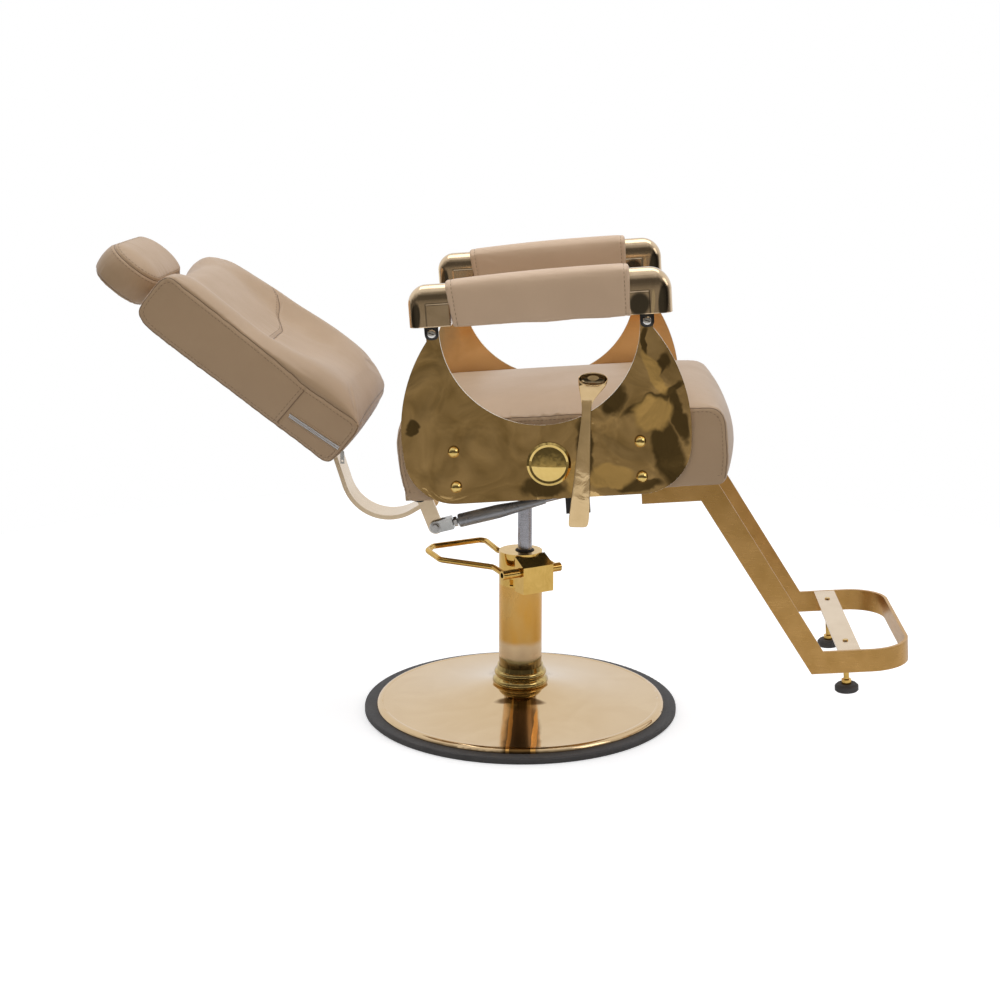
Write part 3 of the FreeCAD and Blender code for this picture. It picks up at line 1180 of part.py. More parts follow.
# Headrest: cushion, board and flat post
def make_headrest():
    post = box("headrest_post", "rest_rear - post_thick", "rest_rear", "-post_half", "post_half", "0",
               "rest_high - 12 - post_low")
    keep(post, "headrest_post")
    place(post, "back", "rest_rear - post_thick", "-post_half", "post_low")

    board = box("headrest_board", "rest_rear", "rest_rear + 10", "34 - rest_half", "rest_half - 34",
                "0",
                "rest_high - rest_low - 32")
    keep(board, "headrest_board")
    place(board, "back", "rest_rear", "34 - rest_half", "rest_low + 16")

    pillow = body("headrest_cushion")
    profiles = []
    # Across the headrest: place, inset of the rounded corners, share of the crown
    for across, inset, rise in ((-1, 38, 0.06), (-0.975, 25, 0.2), (-0.9, 12, 0.35),
                                (-0.75, 3, 0.6), (0, 0, 1),
                                (0.75, 3, 0.6), (0.9, 12, 0.35), (0.975, 25, 0.2), (1, 38, 0.06)):
        item = sketch(pillow, "XZ_Plane", "-rest_half * %s" % across)
        front = "rest_seam - 3 + rest_crown * %s" % rise
        low = "rest_low + %s" % inset
        high = "rest_high - %s" % inset
        outline(item, [
            ("rest_rear", low + " + 10", "rest_rear + 3", low + " + 3"),
            ("rest_rear + 10", low, "(rest_rear + rest_seam) / 2", low + " - 2"),
            ("rest_seam - 3", low + " + 6", front, "(%s + %s) / 2" % (low, high)),
            ("rest_seam - 3", high + " - 6", "(rest_rear + rest_seam) / 2", high + " + 5"),
            ("rest_rear + 10", high, "rest_rear + 3", high + " - 3"),
            ("rest_rear", high + " - 10")])
        profiles.append(item)
    loft(pillow, profiles)
    well = sketch(pillow, "YZ_Plane", "rest_rear - 4")
    rectangle(well, "34 - rest_half - soft_gap", "rest_low + 16 - soft_gap",
              "rest_half - 34 + soft_gap",
              "rest_high - 16 + soft_gap")
    pocket(pillow, well, "14 + soft_gap", reverse=True)
    place(pillow, "back")


# Recline lock: clevis, pin, nut, cylinder and rod
def make_lock():
    block = box("clevis_block", "0", "34", "-12", "12", "-11", "11")
    nose = rod("clevis_round", "y", "-12", "24", "0", "0", "11")
    slot = box("clevis_slot", "-20", "22", "-5", "5", "-20", "20")
    hole = rod("clevis_hole", "y", "-30", "60", "0", "0", "clevis_pin + hole_gap")
    thread = rod("clevis_thread", "x", "20", "30", "0", "0", "stud_radius + hole_gap")
    clevis = keep(cut("lock_clevis", joined("clevis_blank", [block, nose]), [slot, hole, thread]),
                  "lock_clevis")
    place(clevis, "lock")

    shank = rod("pin_shank", "y", "-17", "33", "0", "0", "clevis_pin")
    washer = rod("pin_washer", "y", "-14", "1.8", "0", "0", "9.5")
    nut = doc.addObject("Part::Prism", "pin_nut")
    nut.Polygon = 6
    bind(nut, "Circumradius", "clevis_pin * 1.85")
    bind(nut, "Height", "5")
    bind(nut, "Placement", "placement(vector(0; -19; 0); %s)" % TURNS["y"])
    head = rod("pin_head", "y", "12.2", "4", "0", "0", "7")
    pin = keep(joined("clevis_pin", [shank, washer, nut, head]), "clevis_pin")
    place(pin, "lock")

    jam = doc.addObject("Part::Prism", "jam_nut")
    jam.Polygon = 6
    bind(jam, "Circumradius", "9.5")
    bind(jam, "Height", "6")
    bind(jam, "Placement", "placement(vector(36; 0; 0); %s)" % TURNS["x"])
    hole = rod("jam_hole", "x", "30", "20", "0", "0", "stud_radius + hole_gap")
    place(keep(cut("lock_nut", jam, [hole]), "lock_nut"), "lock")

    cylinder = turned("lock_cylinder", [
        ("0", "22"), ("stud_radius", "22"), ("stud_radius", "lock_start"),
        ("lock_radius - 1.5", "lock_start"), ("lock_radius", "lock_start + 1.5"),
        ("lock_radius", "lock_taper"),
        ("lock_nose", "lock_end"), ("rod_radius + run_fit", "lock_end"),
        ("rod_radius + run_fit", "lock_taper - 40"), ("0", "lock_taper - 40")])
    place(cylinder, "lock", 0, 0, 0, (0, 1, 0), 90)

    shaft = rod("rod_shaft", "x", "lock_taper - 26",
                "lock_length - lock_taper + 26 - eye_radius + 3", "0", "0",
                "rod_radius")
    ring = rod("rod_eye", "y", "-5", "10", "lock_length", "0", "eye_radius")
    hole = rod("rod_eye_hole", "y", "-20", "40", "lock_length", "0", "eye_bore")
    place(keep(cut("lock_rod", joined("rod_blank", [shaft, ring]), [hole]), "lock_rod"), "lock")


# Recline lever on its shaft, outside the right side plate
def make_lever():
    front = body("lever_face")
    SUBPARTS.pop("lever_face")
    item = sketch(front, "XZ_Plane", "lever_out - 30")
    low = "lever_z - lever_tail"
    neck = "lever_z + lever_neck"
    top = "lever_z + lever_top"
    outline(item, [
        ("lever_x - lever_half - 1", low + " + 3", "lever_x - 1", low + " - 2"),
        ("lever_x + lever_half", low + " + 2"),
        ("lever_x + 33", neck, "lever_x + 42", neck + " + 26"),
        ("lever_x + lever_cup + 14", top + " - 23", "lever_x + lever_cup + 12", top + " - 4"),
        ("lever_x + 40", top + " + 1", "lever_x + 22", top),
        ("lever_x + 14", top + " - 14", "lever_x + 17", neck + " + 26"), ("lever_x + 18", neck)])
    pad(front, item, "70")
    profile = body("lever_side")
    SUBPARTS.pop("lever_side")
    item = sketch(profile, "YZ_Plane")
    outer = "-lever_out"
    outline(item, [
        (outer + " + lever_thick", low + " - 10"), (outer + " + lever_thick - 4", "lever_z + 57"),
        (outer + " + lever_thick - 9", neck + " + 5", outer + " + lever_thick - 13", neck + " + 45"),
        (outer + " + lever_thick - 24", top + " + 9"),
        (outer + " - 24", top + " + 9", outer + " - 14", neck + " + 45"),
        (outer + " - 9", neck + " + 5"), (outer + " - 4", "lever_z + 57"), (outer, low + " - 10")])
    pad(profile, item, "2 * lever_top + 100", midplane=True)
    shape = doc.addObject("Part::Common", "lever_blank")
    shape.Base = front
    shape.Tool = profile
    hole = rod("lever_hole", "y", "-lever_out - 20", "40", "lever_x", "lever_z",
               "shaft_radius + hole_gap")
    place(keep(cut("recline_lever", shape, [hole]), "recline_lever"), "seat")

    shank = rod("shaft_bar", "y", "-lever_out - 1", "lever_out - 49", "lever_x", "lever_z",
                "shaft_radius")
    arm = box("release_arm", "lever_x - 5", "lever_x + 5", "-57", "-52", "lever_z - 34", "lever_z")
    place(keep(joined("lever_shaft", [shank, arm]), "lever_shaft"), "seat")

    for name, low, high, right in (("lever_bearing_outer", "4 - panel_gap", "18 - panel_gap",
                                    "lever_x + 21"),
                                   ("lever_bearing_inner", "-78", "-62", "lever_x + 21")):
        block = box(name + "_block", "lever_x - 21", right, low, high, "lever_z - 15", "deck_thick")
        notch = box(name + "_notch", "lever_x - 30", "deck_front + 1", low + " - 1", high + " + 1",
                    "-1",
                    "deck_thick + 1")
        hole = rod(name + "_hole", "y", low + " - 5", "30", "lever_x", "lever_z",
                   "shaft_radius + run_fit")
        tools = [hole, notch] if name.endswith("inner") else [hole]
        place(keep(cut(name, block, tools), name), "seat")


# Zip slider under the lower end of the backrest, and the pull that hangs from it
def make_zip():
    slider = keep(box("zip_slider", "0", "9", "0", "5", "0", "3"), "zip_slider")
    place(slider, "back", 6, "8 - back_half", "back_low - 6")
    plate = box("pull_plate", "-3.5", "3.5", "-0.8", "0.8", "-20", "0")
    top = rod("pull_top", "y", "-0.8", "1.6", "0", "0", "3.5")
    eye = rod("pull_eye", "y", "-5", "10", "0", "-15", "2")
    pull = keep(cut("zip_pull", joined("pull_blank", [plate, top]), [eye]), "zip_pull")
    place(pull, "back", 4.4, "10.5 - back_half", "back_low - 9.6", (0, 1, 0), "90 - back_angle")


make_base()
make_pump()
make_pedal()
make_seat()
make_side_plates()
make_arms()
make_footrest()
make_hinge()
make_backrest()
make_headrest()
make_lock()
make_lever()
make_zip()
doc.recompute()

for item in doc.Objects:
    if "Invalid" in item.State or "Error" in item.State:
        raise RuntimeError("%s %s failed" % (item.Name, item.Label))

os.makedirs("parts", exist_ok=True)
for name, item in SUBPARTS.items():
    shape = item.Shape
    if shape.isNull() or not shape.isValid():
        raise RuntimeError(name + " has no valid shape")
    shape.exportStep("parts/%s.step" % name)
    print("%-24s solids %d volume %.0f" % (name, len(shape.Solids), shape.Volume))
print(len(SUBPARTS), "sub-parts")
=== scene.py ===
import math

import bmesh
import bpy
import numpy as np
from mathutils import Matrix, Vector, kdtree, noise
from mathutils.bvhtree import BVHTree


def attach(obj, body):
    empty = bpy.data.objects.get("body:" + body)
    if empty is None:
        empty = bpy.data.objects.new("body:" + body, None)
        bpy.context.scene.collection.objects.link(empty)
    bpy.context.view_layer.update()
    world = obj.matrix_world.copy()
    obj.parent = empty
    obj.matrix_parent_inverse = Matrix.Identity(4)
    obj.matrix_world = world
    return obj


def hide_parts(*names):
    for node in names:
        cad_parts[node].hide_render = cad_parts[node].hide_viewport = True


# Dressing of the hydraulic barber chair. Metres; +X is the front, +Y the sitter's left.
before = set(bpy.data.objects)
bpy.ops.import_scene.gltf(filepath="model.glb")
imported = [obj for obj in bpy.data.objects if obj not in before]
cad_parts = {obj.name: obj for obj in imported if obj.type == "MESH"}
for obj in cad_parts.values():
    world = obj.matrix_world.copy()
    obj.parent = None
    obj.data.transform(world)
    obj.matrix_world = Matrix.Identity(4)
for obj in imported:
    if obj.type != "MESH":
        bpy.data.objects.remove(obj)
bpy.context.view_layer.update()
scene = bpy.context.scene
MM = 0.001

# Frames of the pieces' measures, in mm. Seat: u forward and w up along the leaning seat.
# Back: n out of the rest and s up along it. Level: as the floor.
LEAN = math.radians(4)
SEAT = Matrix(((math.cos(LEAN), 0, -math.sin(LEAN), 0), (0, 1, 0, 0),
               (math.sin(LEAN), 0, math.cos(LEAN), 0.470), (0, 0, 0, 1)))
REST = math.radians(39.7)
BACK = Matrix(((math.sin(REST), 0, -math.cos(REST), -0.185), (0, 1, 0, 0),
               (math.cos(REST), 0, math.sin(REST), 0.436), (0, 0, 0, 1)))
LEVEL = Matrix.Identity(4)


# Objects and nodes
def put(name, data):
    """A new object in the scene."""
    item = bpy.data.objects.new(name, data)
    scene.collection.objects.link(item)
    return item


def feed(tree, node, inputs):
    """Gives each named input of a node its value, or links it from a socket."""
    for label, value in inputs.items():
        if isinstance(value, bpy.types.NodeSocket):
            tree.links.new(value, node.inputs[label])
        else:
            node.inputs[label].default_value = value
    return node


def add_node(tree, kind, inputs=None, **settings):
    """A new node with its settings and its inputs."""
    node = tree.nodes.new(kind)
    for label, value in settings.items():
        setattr(node, label, value)
    return feed(tree, node, inputs or {})


def math_of(tree, operation, *values):
    """The result of a sum; each value is a number or a socket."""
    return add_node(tree, "ShaderNodeMath", dict(enumerate(values)), operation=operation).outputs[0]


def vector_of(tree, operation, *values):
    return add_node(tree, "ShaderNodeVectorMath", dict(enumerate(values)), operation=operation).outputs[0]


def sum_of(tree, first, second, factor=1.0):
    """first + second * factor."""
    return math_of(tree, "MULTIPLY_ADD", second, factor, first)


def cloudy(tree, where, scale, detail, distortion=0.0, roughness=0.5):
    """A noise on the coordinates given; scale is a number or a socket."""
    return add_node(tree, "ShaderNodeTexNoise",
                    {"Vector": where, "Scale": scale, "Detail": detail, "Distortion": distortion,
                     "Roughness": roughness}).outputs["Fac"]


def span(tree, source, low, high, from_low=0.3, from_high=0.7):
    """The source's range turned into low to high."""
    return add_node(tree, "ShaderNodeMapRange",
                    {"Value": source, "From Min": from_low, "From Max": from_high, "To Min": low,
                     "To Max": high}).outputs["Result"]


def soft_step(tree, source, start, end):
    """0 where the source is at start and 1 at end, with a smooth change between."""
    return add_node(tree, "ShaderNodeMapRange", {"Value": source, "From Min": start, "From Max": end},
                    interpolation_type="SMOOTHSTEP").outputs["Result"]


# Studio: camera, lamps, surroundings and floor
ROOM_TONES = [(0.14, (0.24, 0.225, 0.20)), (0.26, (0.09, 0.083, 0.073)), (0.42, (0.07, 0.065, 0.058)),
              (0.52, (0.26, 0.25, 0.235)), (0.64, (0.52, 0.52, 0.53)), (0.80, (0.90, 0.92, 0.96))]
LOWEST_TONE = (0.42, 0.39, 0.34)
FLOOR_TONE = (0.82, 0.82, 0.82)
FLOOR_GLOW = 0.45


def studio_camera():
    data = bpy.data.cameras.new("studio_camera")
    data.lens = 62.78
    data.sensor_width = 36.0
    camera = put("studio_camera", data)
    camera.location = (0.1445, -3.1904, 1.1752)
    camera.rotation_euler = (math.radians(76.542), 0, math.radians(3.294))
    scene.camera = camera


def soft_box(name, place, aim, width, height, watts):
    data = bpy.data.lights.new(name, "AREA")
    data.shape = "RECTANGLE"
    data.size = width
    data.size_y = height
    data.energy = watts
    lamp = put(name, data)
    lamp.location = place
    lamp.rotation_euler = (Vector(aim) - Vector(place)).to_track_quat("-Z", "Y").to_euler()
    return lamp


def studio_world():
    """White paper behind for the eye; bright above and dim in front in what the metal mirrors."""
    world = bpy.data.worlds.new("studio")
    scene.world = world
    world.use_nodes = True
    tree = world.node_tree
    tree.nodes.clear()
    place = add_node(tree, "ShaderNodeTexCoord").outputs["Generated"]
    split = add_node(tree, "ShaderNodeSeparateXYZ", {0: place}).outputs
    height = sum_of(tree, split["Z"], split["Y"])
    uneven = sum_of(tree, height, cloudy(tree, place, 4.5, 2.0, 1.2), 1.1)
    light = add_node(tree, "ShaderNodeValToRGB", {"Fac": span(tree, uneven, 0, 1, -0.9, 1.7)})
    light.color_ramp.interpolation = "B_SPLINE"
    ramp = light.color_ramp.elements
    ramp.remove(ramp[1])
    ramp[0].color = (*LOWEST_TONE, 1)
    for share, tone in ROOM_TONES:
        ramp.new(share).color = (*tone, 1)
    room = add_node(tree, "ShaderNodeBackground", {"Color": light.outputs["Color"]})
    paper = add_node(tree, "ShaderNodeBackground", {"Color": (1, 1, 1, 1)})
    eye = add_node(tree, "ShaderNodeLightPath").outputs["Is Camera Ray"]
    pick = add_node(tree, "ShaderNodeMixShader", {0: eye, 1: room.outputs[0], 2: paper.outputs[0]})
    add_node(tree, "ShaderNodeOutputWorld", {"Surface": pick.outputs[0]})


def studio_floor():
    """A round of pale paper that takes the shadow and is lifted towards white for the eye."""
    mesh = bpy.data.meshes.new("studio_floor")
    work = bmesh.new()
    bmesh.ops.create_circle(work, cap_ends=True, radius=1.9, segments=128)
    work.to_mesh(mesh)
    work.free()
    floor = put("studio_floor", mesh)
    floor.location = (0, 0, -0.0002)
    paint = bpy.data.materials.new("floor_paper")
    paint.use_nodes = True
    tree = paint.node_tree
    tree.nodes.clear()
    matt = add_node(tree, "ShaderNodeBsdfDiffuse", {"Color": (*FLOOR_TONE, 1)})
    eye = add_node(tree, "ShaderNodeLightPath").outputs["Is Camera Ray"]
    glow = add_node(tree, "ShaderNodeEmission", {"Strength": math_of(tree, "MULTIPLY", eye, FLOOR_GLOW)})
    both = add_node(tree, "ShaderNodeAddShader", {0: matt.outputs[0], 1: glow.outputs[0]})
    add_node(tree, "ShaderNodeOutputMaterial", {"Surface": both.outputs[0]})
    mesh.materials.append(paint)


studio_camera()
studio_world()
studio_floor()
# The main lamp stays out of mirror images, where it would be a hard white bar on each arm cap
soft_box("key_box", (-0.6, -2.6, 2.6), (0.1, 0, 0.6), 1.6, 1.2, 17).visible_glossy = False
soft_box("front_box", (2.6, -1.2, 2.2), (0.1, 0, 0.5), 1.4, 1.4, 10)
soft_box("top_box", (0.1, 0.4, 3.0), (0.1, 0, 0.5), 2.4, 1.6, 20)
scene.view_settings.view_transform = "Standard"


# Shared effects of the finishes, each a group of shader nodes
def effect_group(name, inputs, outputs):
    """A group with its sockets: the group, what it is given, its end and the object's coordinates."""
    group = bpy.data.node_groups.new(name, "ShaderNodeTree")
    for label, kind in inputs:
        group.interface.new_socket(label, in_out="INPUT", socket_type="NodeSocket" + kind)
    for label in outputs:
        group.interface.new_socket(label, in_out="OUTPUT", socket_type="NodeSocketFloat")
    where = add_node(group, "ShaderNodeTexCoord").outputs["Object"]
    return group, add_node(group, "NodeGroupInput").outputs, add_node(group, "NodeGroupOutput"), where


def one_over(group, length):
    """Turns a pattern's size in metres into a scale."""
    return math_of(group, "DIVIDE", 1.0, length)


def grain_group():
    """Fine pebbled grain of coated fabric: a height for the bump and a soft change of tone."""
    group, given, end, where = effect_group("hide_grain", [("Pebble Size", "Float")], ["Height", "Tone"])
    size = one_over(group, given["Pebble Size"])
    pebble = add_node(group, "ShaderNodeTexVoronoi", {"Vector": where, "Scale": size, "Smoothness": 0.45},
                      feature="SMOOTH_F1")
    crease = cloudy(group, where, 190.0, 4.0)
    feed(group, end, {"Height": sum_of(group, pebble.outputs["Distance"], crease, 0.5),
                      "Tone": cloudy(group, where, 9.0, 5.0, roughness=0.6)})
    return group


def polish_group():
    """Hand-polished sheet: slow waves for the bump, wipe marks for the roughness, swirled tone painted as a
    cloudy reflection.
    """
    group, given, end, where = effect_group("polished_sheet", [("Wave Size", "Float"),
                                                               ("Mark Size", "Float")],
                                            ["Wave", "Marks", "Reflection Swirl"])
    wave = one_over(group, given["Wave Size"])
    marks = one_over(group, given["Mark Size"])
    slow = cloudy(group, where, wave, 0.0, 1.1)
    quick = cloudy(group, where, wave, 2.5, 2.2)
    feed(group, end, {"Wave": sum_of(group, slow, quick, 0.35), "Reflection Swirl": quick,
                      "Marks": cloudy(group, where, marks, 6.0, 0.2)})
    return group


def brush_group():
    """Fine lines of a brushed bar, long where Stretch is low, with faint blotches."""
    group, given, end, where = effect_group("brushed_bar", [("Stretch", "Vector")], ["Line", "Blotch"])
    pulled = vector_of(group, "MULTIPLY", where, given["Stretch"])
    feed(group, end, {"Line": cloudy(group, pulled, 1.0, 3.0), "Blotch": cloudy(group, where, 28.0, 5.0)})
    return group


def band_group():
    """A mask by height on the object: 0 below Low and 1 above High, with an uneven edge."""
    group, given, end, where = effect_group("height_band", [("Low", "Float"), ("High", "Float")], ["Mask"])
    height = add_node(group, "ShaderNodeSeparateXYZ", {0: where}).outputs["Z"]
    edge = sum_of(group, height, cloudy(group, where, 40.0, 3.0), 0.008)
    feed(group, end, {"Mask": soft_step(group, edge, given["Low"], given["High"])})
    return group


def shape_group():
    """A soft-edged reflection painted on a sheet, Reach long to each side of Middle; Ripple in metres."""
    group, given, end, where = effect_group("painted_reflection_shape", [("Middle", "Vector"), ("Reach", "Vector"),
                                                               ("Turn", "Vector"), ("Ripple", "Float")],
                                            ["Mask"])
    last = add_node(group, "ShaderNodeTexNoise",
                    {"Vector": where, "Scale": 26.0, "Detail": 2.0, "Distortion": 0.6}).outputs["Color"]
    for operation, second in (("SUBTRACT", (0.5, 0.5, 0.5)), ("MULTIPLY", given["Ripple"]),
                              ("ADD", where), ("SUBTRACT", given["Middle"])):
        last = vector_of(group, operation, last, second)
    turned = add_node(group, "ShaderNodeVectorRotate", {"Vector": last, "Rotation": given["Turn"]},
                      rotation_type="EULER_XYZ").outputs[0]
    share = vector_of(group, "DIVIDE", turned, given["Reach"])
    far = add_node(group, "ShaderNodeVectorMath", {0: share}, operation="LENGTH").outputs["Value"]
    feed(group, end, {"Mask": soft_step(group, far, 1.15, 0.78)})
    return group


HIDE_GRAIN = grain_group()
POLISHED_SHEET = polish_group()
BRUSHED_BAR = brush_group()
HEIGHT_BAND = band_group()
PAINTED_REFLECTION = shape_group()


# Finishes
def blank_finish(name):
    paint = bpy.data.materials.new(name)
    paint.use_nodes = True
    return paint, paint.node_tree, paint.node_tree.nodes["Principled BSDF"]


def effect(tree, group, sizes):
    """The outputs of a group put into a finish with its sizes."""
    return add_node(tree, "ShaderNodeGroup", sizes, node_tree=group).outputs


def two_tones(tree, factor, *tones):
    """The first tone where the factor is 0, the second where it is 1; each a colour or a socket."""
    first, second = [(*tone, 1) if isinstance(tone, tuple) else tone for tone in tones]
    return add_node(tree, "ShaderNodeMix", {"Factor": factor, "A": first, "B": second},
                    data_type="RGBA").outputs["Result"]


def relief(tree, height, distance):
    """Bumps up to the distance in metres."""
    return add_node(tree, "ShaderNodeBump", {"Height": height, "Distance": distance}).outputs["Normal"]


def shapes(tree, ripple, places):
    """The painted reflections of a list of (middle, reach, turn), put together into one mask."""
    whole = 0.0
    for middle, reach, turn in places:
        sizes = {"Middle": middle, "Reach": reach, "Turn": turn, "Ripple": ripple}
        whole = math_of(tree, "MAXIMUM", whole, effect(tree, PAINTED_REFLECTION, sizes)["Mask"])
    return whole


def upholstery(name, light, dark, pebble=0.0011):
    """Coated fabric: a pebbled grain, patchy in tone and gloss."""
    paint, tree, shader = blank_finish(name)
    grain = effect(tree, HIDE_GRAIN, {"Pebble Size": pebble})
    feed(tree, shader, {"Base Color": two_tones(tree, span(tree, grain["Tone"], 0, 1), dark, light),
                        "Roughness": span(tree, grain["Tone"], 0.50, 0.40),
                        "Normal": relief(tree, grain["Height"], 0.00007),
                        "Specular IOR Level": 0.42, "Sheen Weight": 0.05, "Sheen Roughness": 0.5})
    return paint


def polished_gold(name, light, dark, wave=0.09, depth=0.0004, rough=(0.05, 0.12), deep=(), glow=()):
    """deep and glow are a tone, the ripple of its shapes and the shapes: painted dark and bright reflections.
    """
    paint, tree, shader = blank_finish(name)
    sheet = effect(tree, POLISHED_SHEET, {"Wave Size": wave, "Mark Size": 0.02})
    # The tone swirls from dark to light gold, a painted reflection
    tone = two_tones(tree, span(tree, sheet["Reflection Swirl"], 0, 1), dark, light)
    # Painted dark reflections, then painted bright ones, laid over the tone
    for extra in (deep, glow):
        if extra:
            tone = two_tones(tree, shapes(tree, *extra[1:]), tone, extra[0])
    feed(tree, shader, {"Base Color": tone, "Metallic": 1.0,
                        "Roughness": span(tree, sheet["Marks"], *rough),
                        "Normal": relief(tree, sheet["Wave"], depth)})
    return paint


def hazed_gold(name, low):
    """Column tube: a mirror foot up to the height low, painted dark as a dark reflection, then a pale band,
    then rubbed dull and cloudy.
    """
    paint, tree, shader = blank_finish(name)
    sheet = effect(tree, POLISHED_SHEET, {"Wave Size": 0.06, "Mark Size": 0.012})
    haze = effect(tree, BRUSHED_BAR, {"Stretch": (26, 26, 9)})["Line"]
    dull_part = effect(tree, HEIGHT_BAND, {"Low": low, "High": low + 0.006})["Mask"]
    above_band = effect(tree, HEIGHT_BAND, {"Low": low + 0.028, "High": low + 0.042})["Mask"]
    hazed = two_tones(tree, span(tree, haze, 0, 1), (0.68, 0.33, 0.052), (0.73, 0.44, 0.14))
    hazed = two_tones(tree, above_band, (0.78, 0.55, 0.31), hazed)
    # Painted dark reflection on the mirror foot
    painted_dark_foot = two_tones(tree, sheet["Reflection Swirl"], (0.20, 0.14, 0.05), (0.46, 0.33, 0.14))
    rough = add_node(tree, "ShaderNodeMix", {"Factor": dull_part, "A": span(tree, sheet["Marks"], 0.04, 0.08),
                                             "B": span(tree, haze, 0.20, 0.30)})
    feed(tree, shader, {"Base Color": two_tones(tree, dull_part, painted_dark_foot, hazed), "Metallic": 1.0,
                        "Roughness": rough.outputs["Result"],
                        "Normal": relief(tree, sheet["Wave"], 0.00006)})
    return paint


def brushed_metal(name, light, dark, stretch=(60, 60, 900), rough=(0.26, 0.38), depth=0.00003,
                  metallic=1.0):
    """Brushed metal; an even stretch gives a plain grain, for steel, rubber and wood too."""
    paint, tree, shader = blank_finish(name)
    bar = effect(tree, BRUSHED_BAR, {"Stretch": stretch})
    feed(tree, shader, {"Base Color": two_tones(tree, span(tree, bar["Blotch"], 0, 1), dark, light),
                        "Metallic": metallic, "Roughness": span(tree, bar["Line"], *rough),
                        "Normal": relief(tree, bar["Line"], depth)})
    return paint


# Reflections painted on bright metal reach right through its sheet
THROUGH = 9


def upright(*marks):
    """Painted reflections on an upright sheet, from x, z, half the width, half the height and the turn of
    each.
    """
    return [((x, 0, z), (wide, THROUGH, high), (0, turn, 0)) for x, z, wide, high, turn in marks]


def on_dish(*marks):
    """Painted reflections on the dish, from x, y, half the width and half the depth of each."""
    return [((x, y, 0.03), (wide, deep, THROUGH), (0, 0, 0)) for x, y, wide, deep in marks]


HIDE = upholstery("tan_coated_fabric", (0.475, 0.322, 0.194), (0.436, 0.293, 0.174))
# The same fabric on the arm pads, painted lighter for the light that falls on them
ARM_HIDE_PAINTED_LIGHTER = upholstery("tan_fabric_painted_lighter", (0.66, 0.47, 0.315), (0.61, 0.43, 0.285))
THREAD = upholstery("tan_thread", (0.27, 0.175, 0.10), (0.22, 0.14, 0.08), 0.0004)
# Dark tan of the seam cords: painted shade in the seam grooves
SEAM_SHADE_TAN = upholstery("shadowed_seam", (0.26, 0.17, 0.10), (0.21, 0.135, 0.078), 0.0004)

# Painted dark and bright reflections on the near plate, the caps and the dish
PLATE_DARK_REFLECTIONS = upright((0.049, 0.497, 0.040, 0.018, 0), (0.262, 0.565, 0.024, 0.078, 0.25),
                     (0.279, 0.628, 0.013, 0.050, 0.27), (0.214, 0.503, 0.042, 0.013, 0.1),
                     (0.238, 0.655, 0.062, 0.010, 0.5), (0.170, 0.650, 0.020, 0.034, -0.5),
                     (0.250, 0.716, 0.014, 0.024, -0.35), (0.222, 0.752, 0.006, 0.024, 0),
                     (-0.172, 0.598, 0.013, 0.012, 0), (0.120, 0.575, 0.014, 0.050, 0.1))
PLATE_BRIGHT_REFLECTIONS = upright((0.168, 0.520, 0.042, 0.022, 0), (0.236, 0.628, 0.036, 0.030, 0.3),
                     (0.105, 0.515, 0.016, 0.030, 0), (0.236, 0.700, 0.012, 0.040, 0.5))
# Caps: painted dark reflections on the flank panels, painted bright lines at the ledge
CAP_DARK_REFLECTIONS = upright((0.209, 0.819, 0.018, 0.020, 0), (0.249, 0.825, 0.009, 0.030, 0),
                   (-0.163, 0.794, 0.008, 0.024, 0))
CAP_BRIGHT_REFLECTIONS = upright((0.232, 0.822, 0.0032, 0.022, 0), (-0.178, 0.800, 0.0035, 0.030, 0))
# Dish: the column's painted dark reflection, with painted bright lines along it
DISH_DARK_REFLECTIONS = on_dish((0.012, -0.235, 0.033, 0.170), (0.004, -0.086, 0.046, 0.014))
DISH_BRIGHT_REFLECTIONS = on_dish((-0.010, -0.205, 0.0040, 0.130), (0.036, -0.225, 0.0050, 0.120))

# The near plate's wide swirl from dark to light gold is a painted reflection too
PLATE_GOLD = polished_gold("polished_side_plate", (0.74, 0.49, 0.21), (0.42, 0.265, 0.095), 0.10, 0.0026,
                           (0.05, 0.10), ((0.17, 0.11, 0.04), 0.03, PLATE_DARK_REFLECTIONS),
                           ((0.90, 0.58, 0.20), 0.03, PLATE_BRIGHT_REFLECTIONS))
FAR_PLATE_GOLD = polished_gold("polished_far_plate", (0.74, 0.49, 0.21), (0.62, 0.40, 0.16), 0.12, 0.0008,
                               (0.05, 0.10))
INNER_GOLD = polished_gold("inner_side_plate", (0.88, 0.61, 0.32), (0.80, 0.54, 0.27), 0.12, 0.0006,
                           (0.14, 0.20))
# Near-white gold on the plates' cut edges: a painted highlight
EDGE_HIGHLIGHT_GOLD = polished_gold("cut_plate_edge_highlight", (1.0, 0.93, 0.80), (0.94, 0.85, 0.70), 0.05, 0.0, (0.2, 0.3))
CAP_GOLD = polished_gold("polished_arm_cap", (0.78, 0.585, 0.38), (0.68, 0.505, 0.315), 0.05, 0.0002,
                         (0.14, 0.16), ((0.13, 0.105, 0.070), 0.004, CAP_DARK_REFLECTIONS),
                         ((1.0, 0.76, 0.44), 0.004, CAP_BRIGHT_REFLECTIONS))
DISH_GOLD = polished_gold("spun_dish", (0.72, 0.525, 0.305), (0.68, 0.485, 0.27), 0.16, 0.0003,
                          (0.07, 0.12), ((0.16, 0.085, 0.026), 0.012, DISH_DARK_REFLECTIONS),
                          ((0.75, 0.40, 0.11), 0.004, DISH_BRIGHT_REFLECTIONS))
PUMP_GOLD = polished_gold("polished_pump", (0.74, 0.475, 0.135), (0.64, 0.395, 0.10), 0.03, 0.00005,
                          (0.05, 0.10))
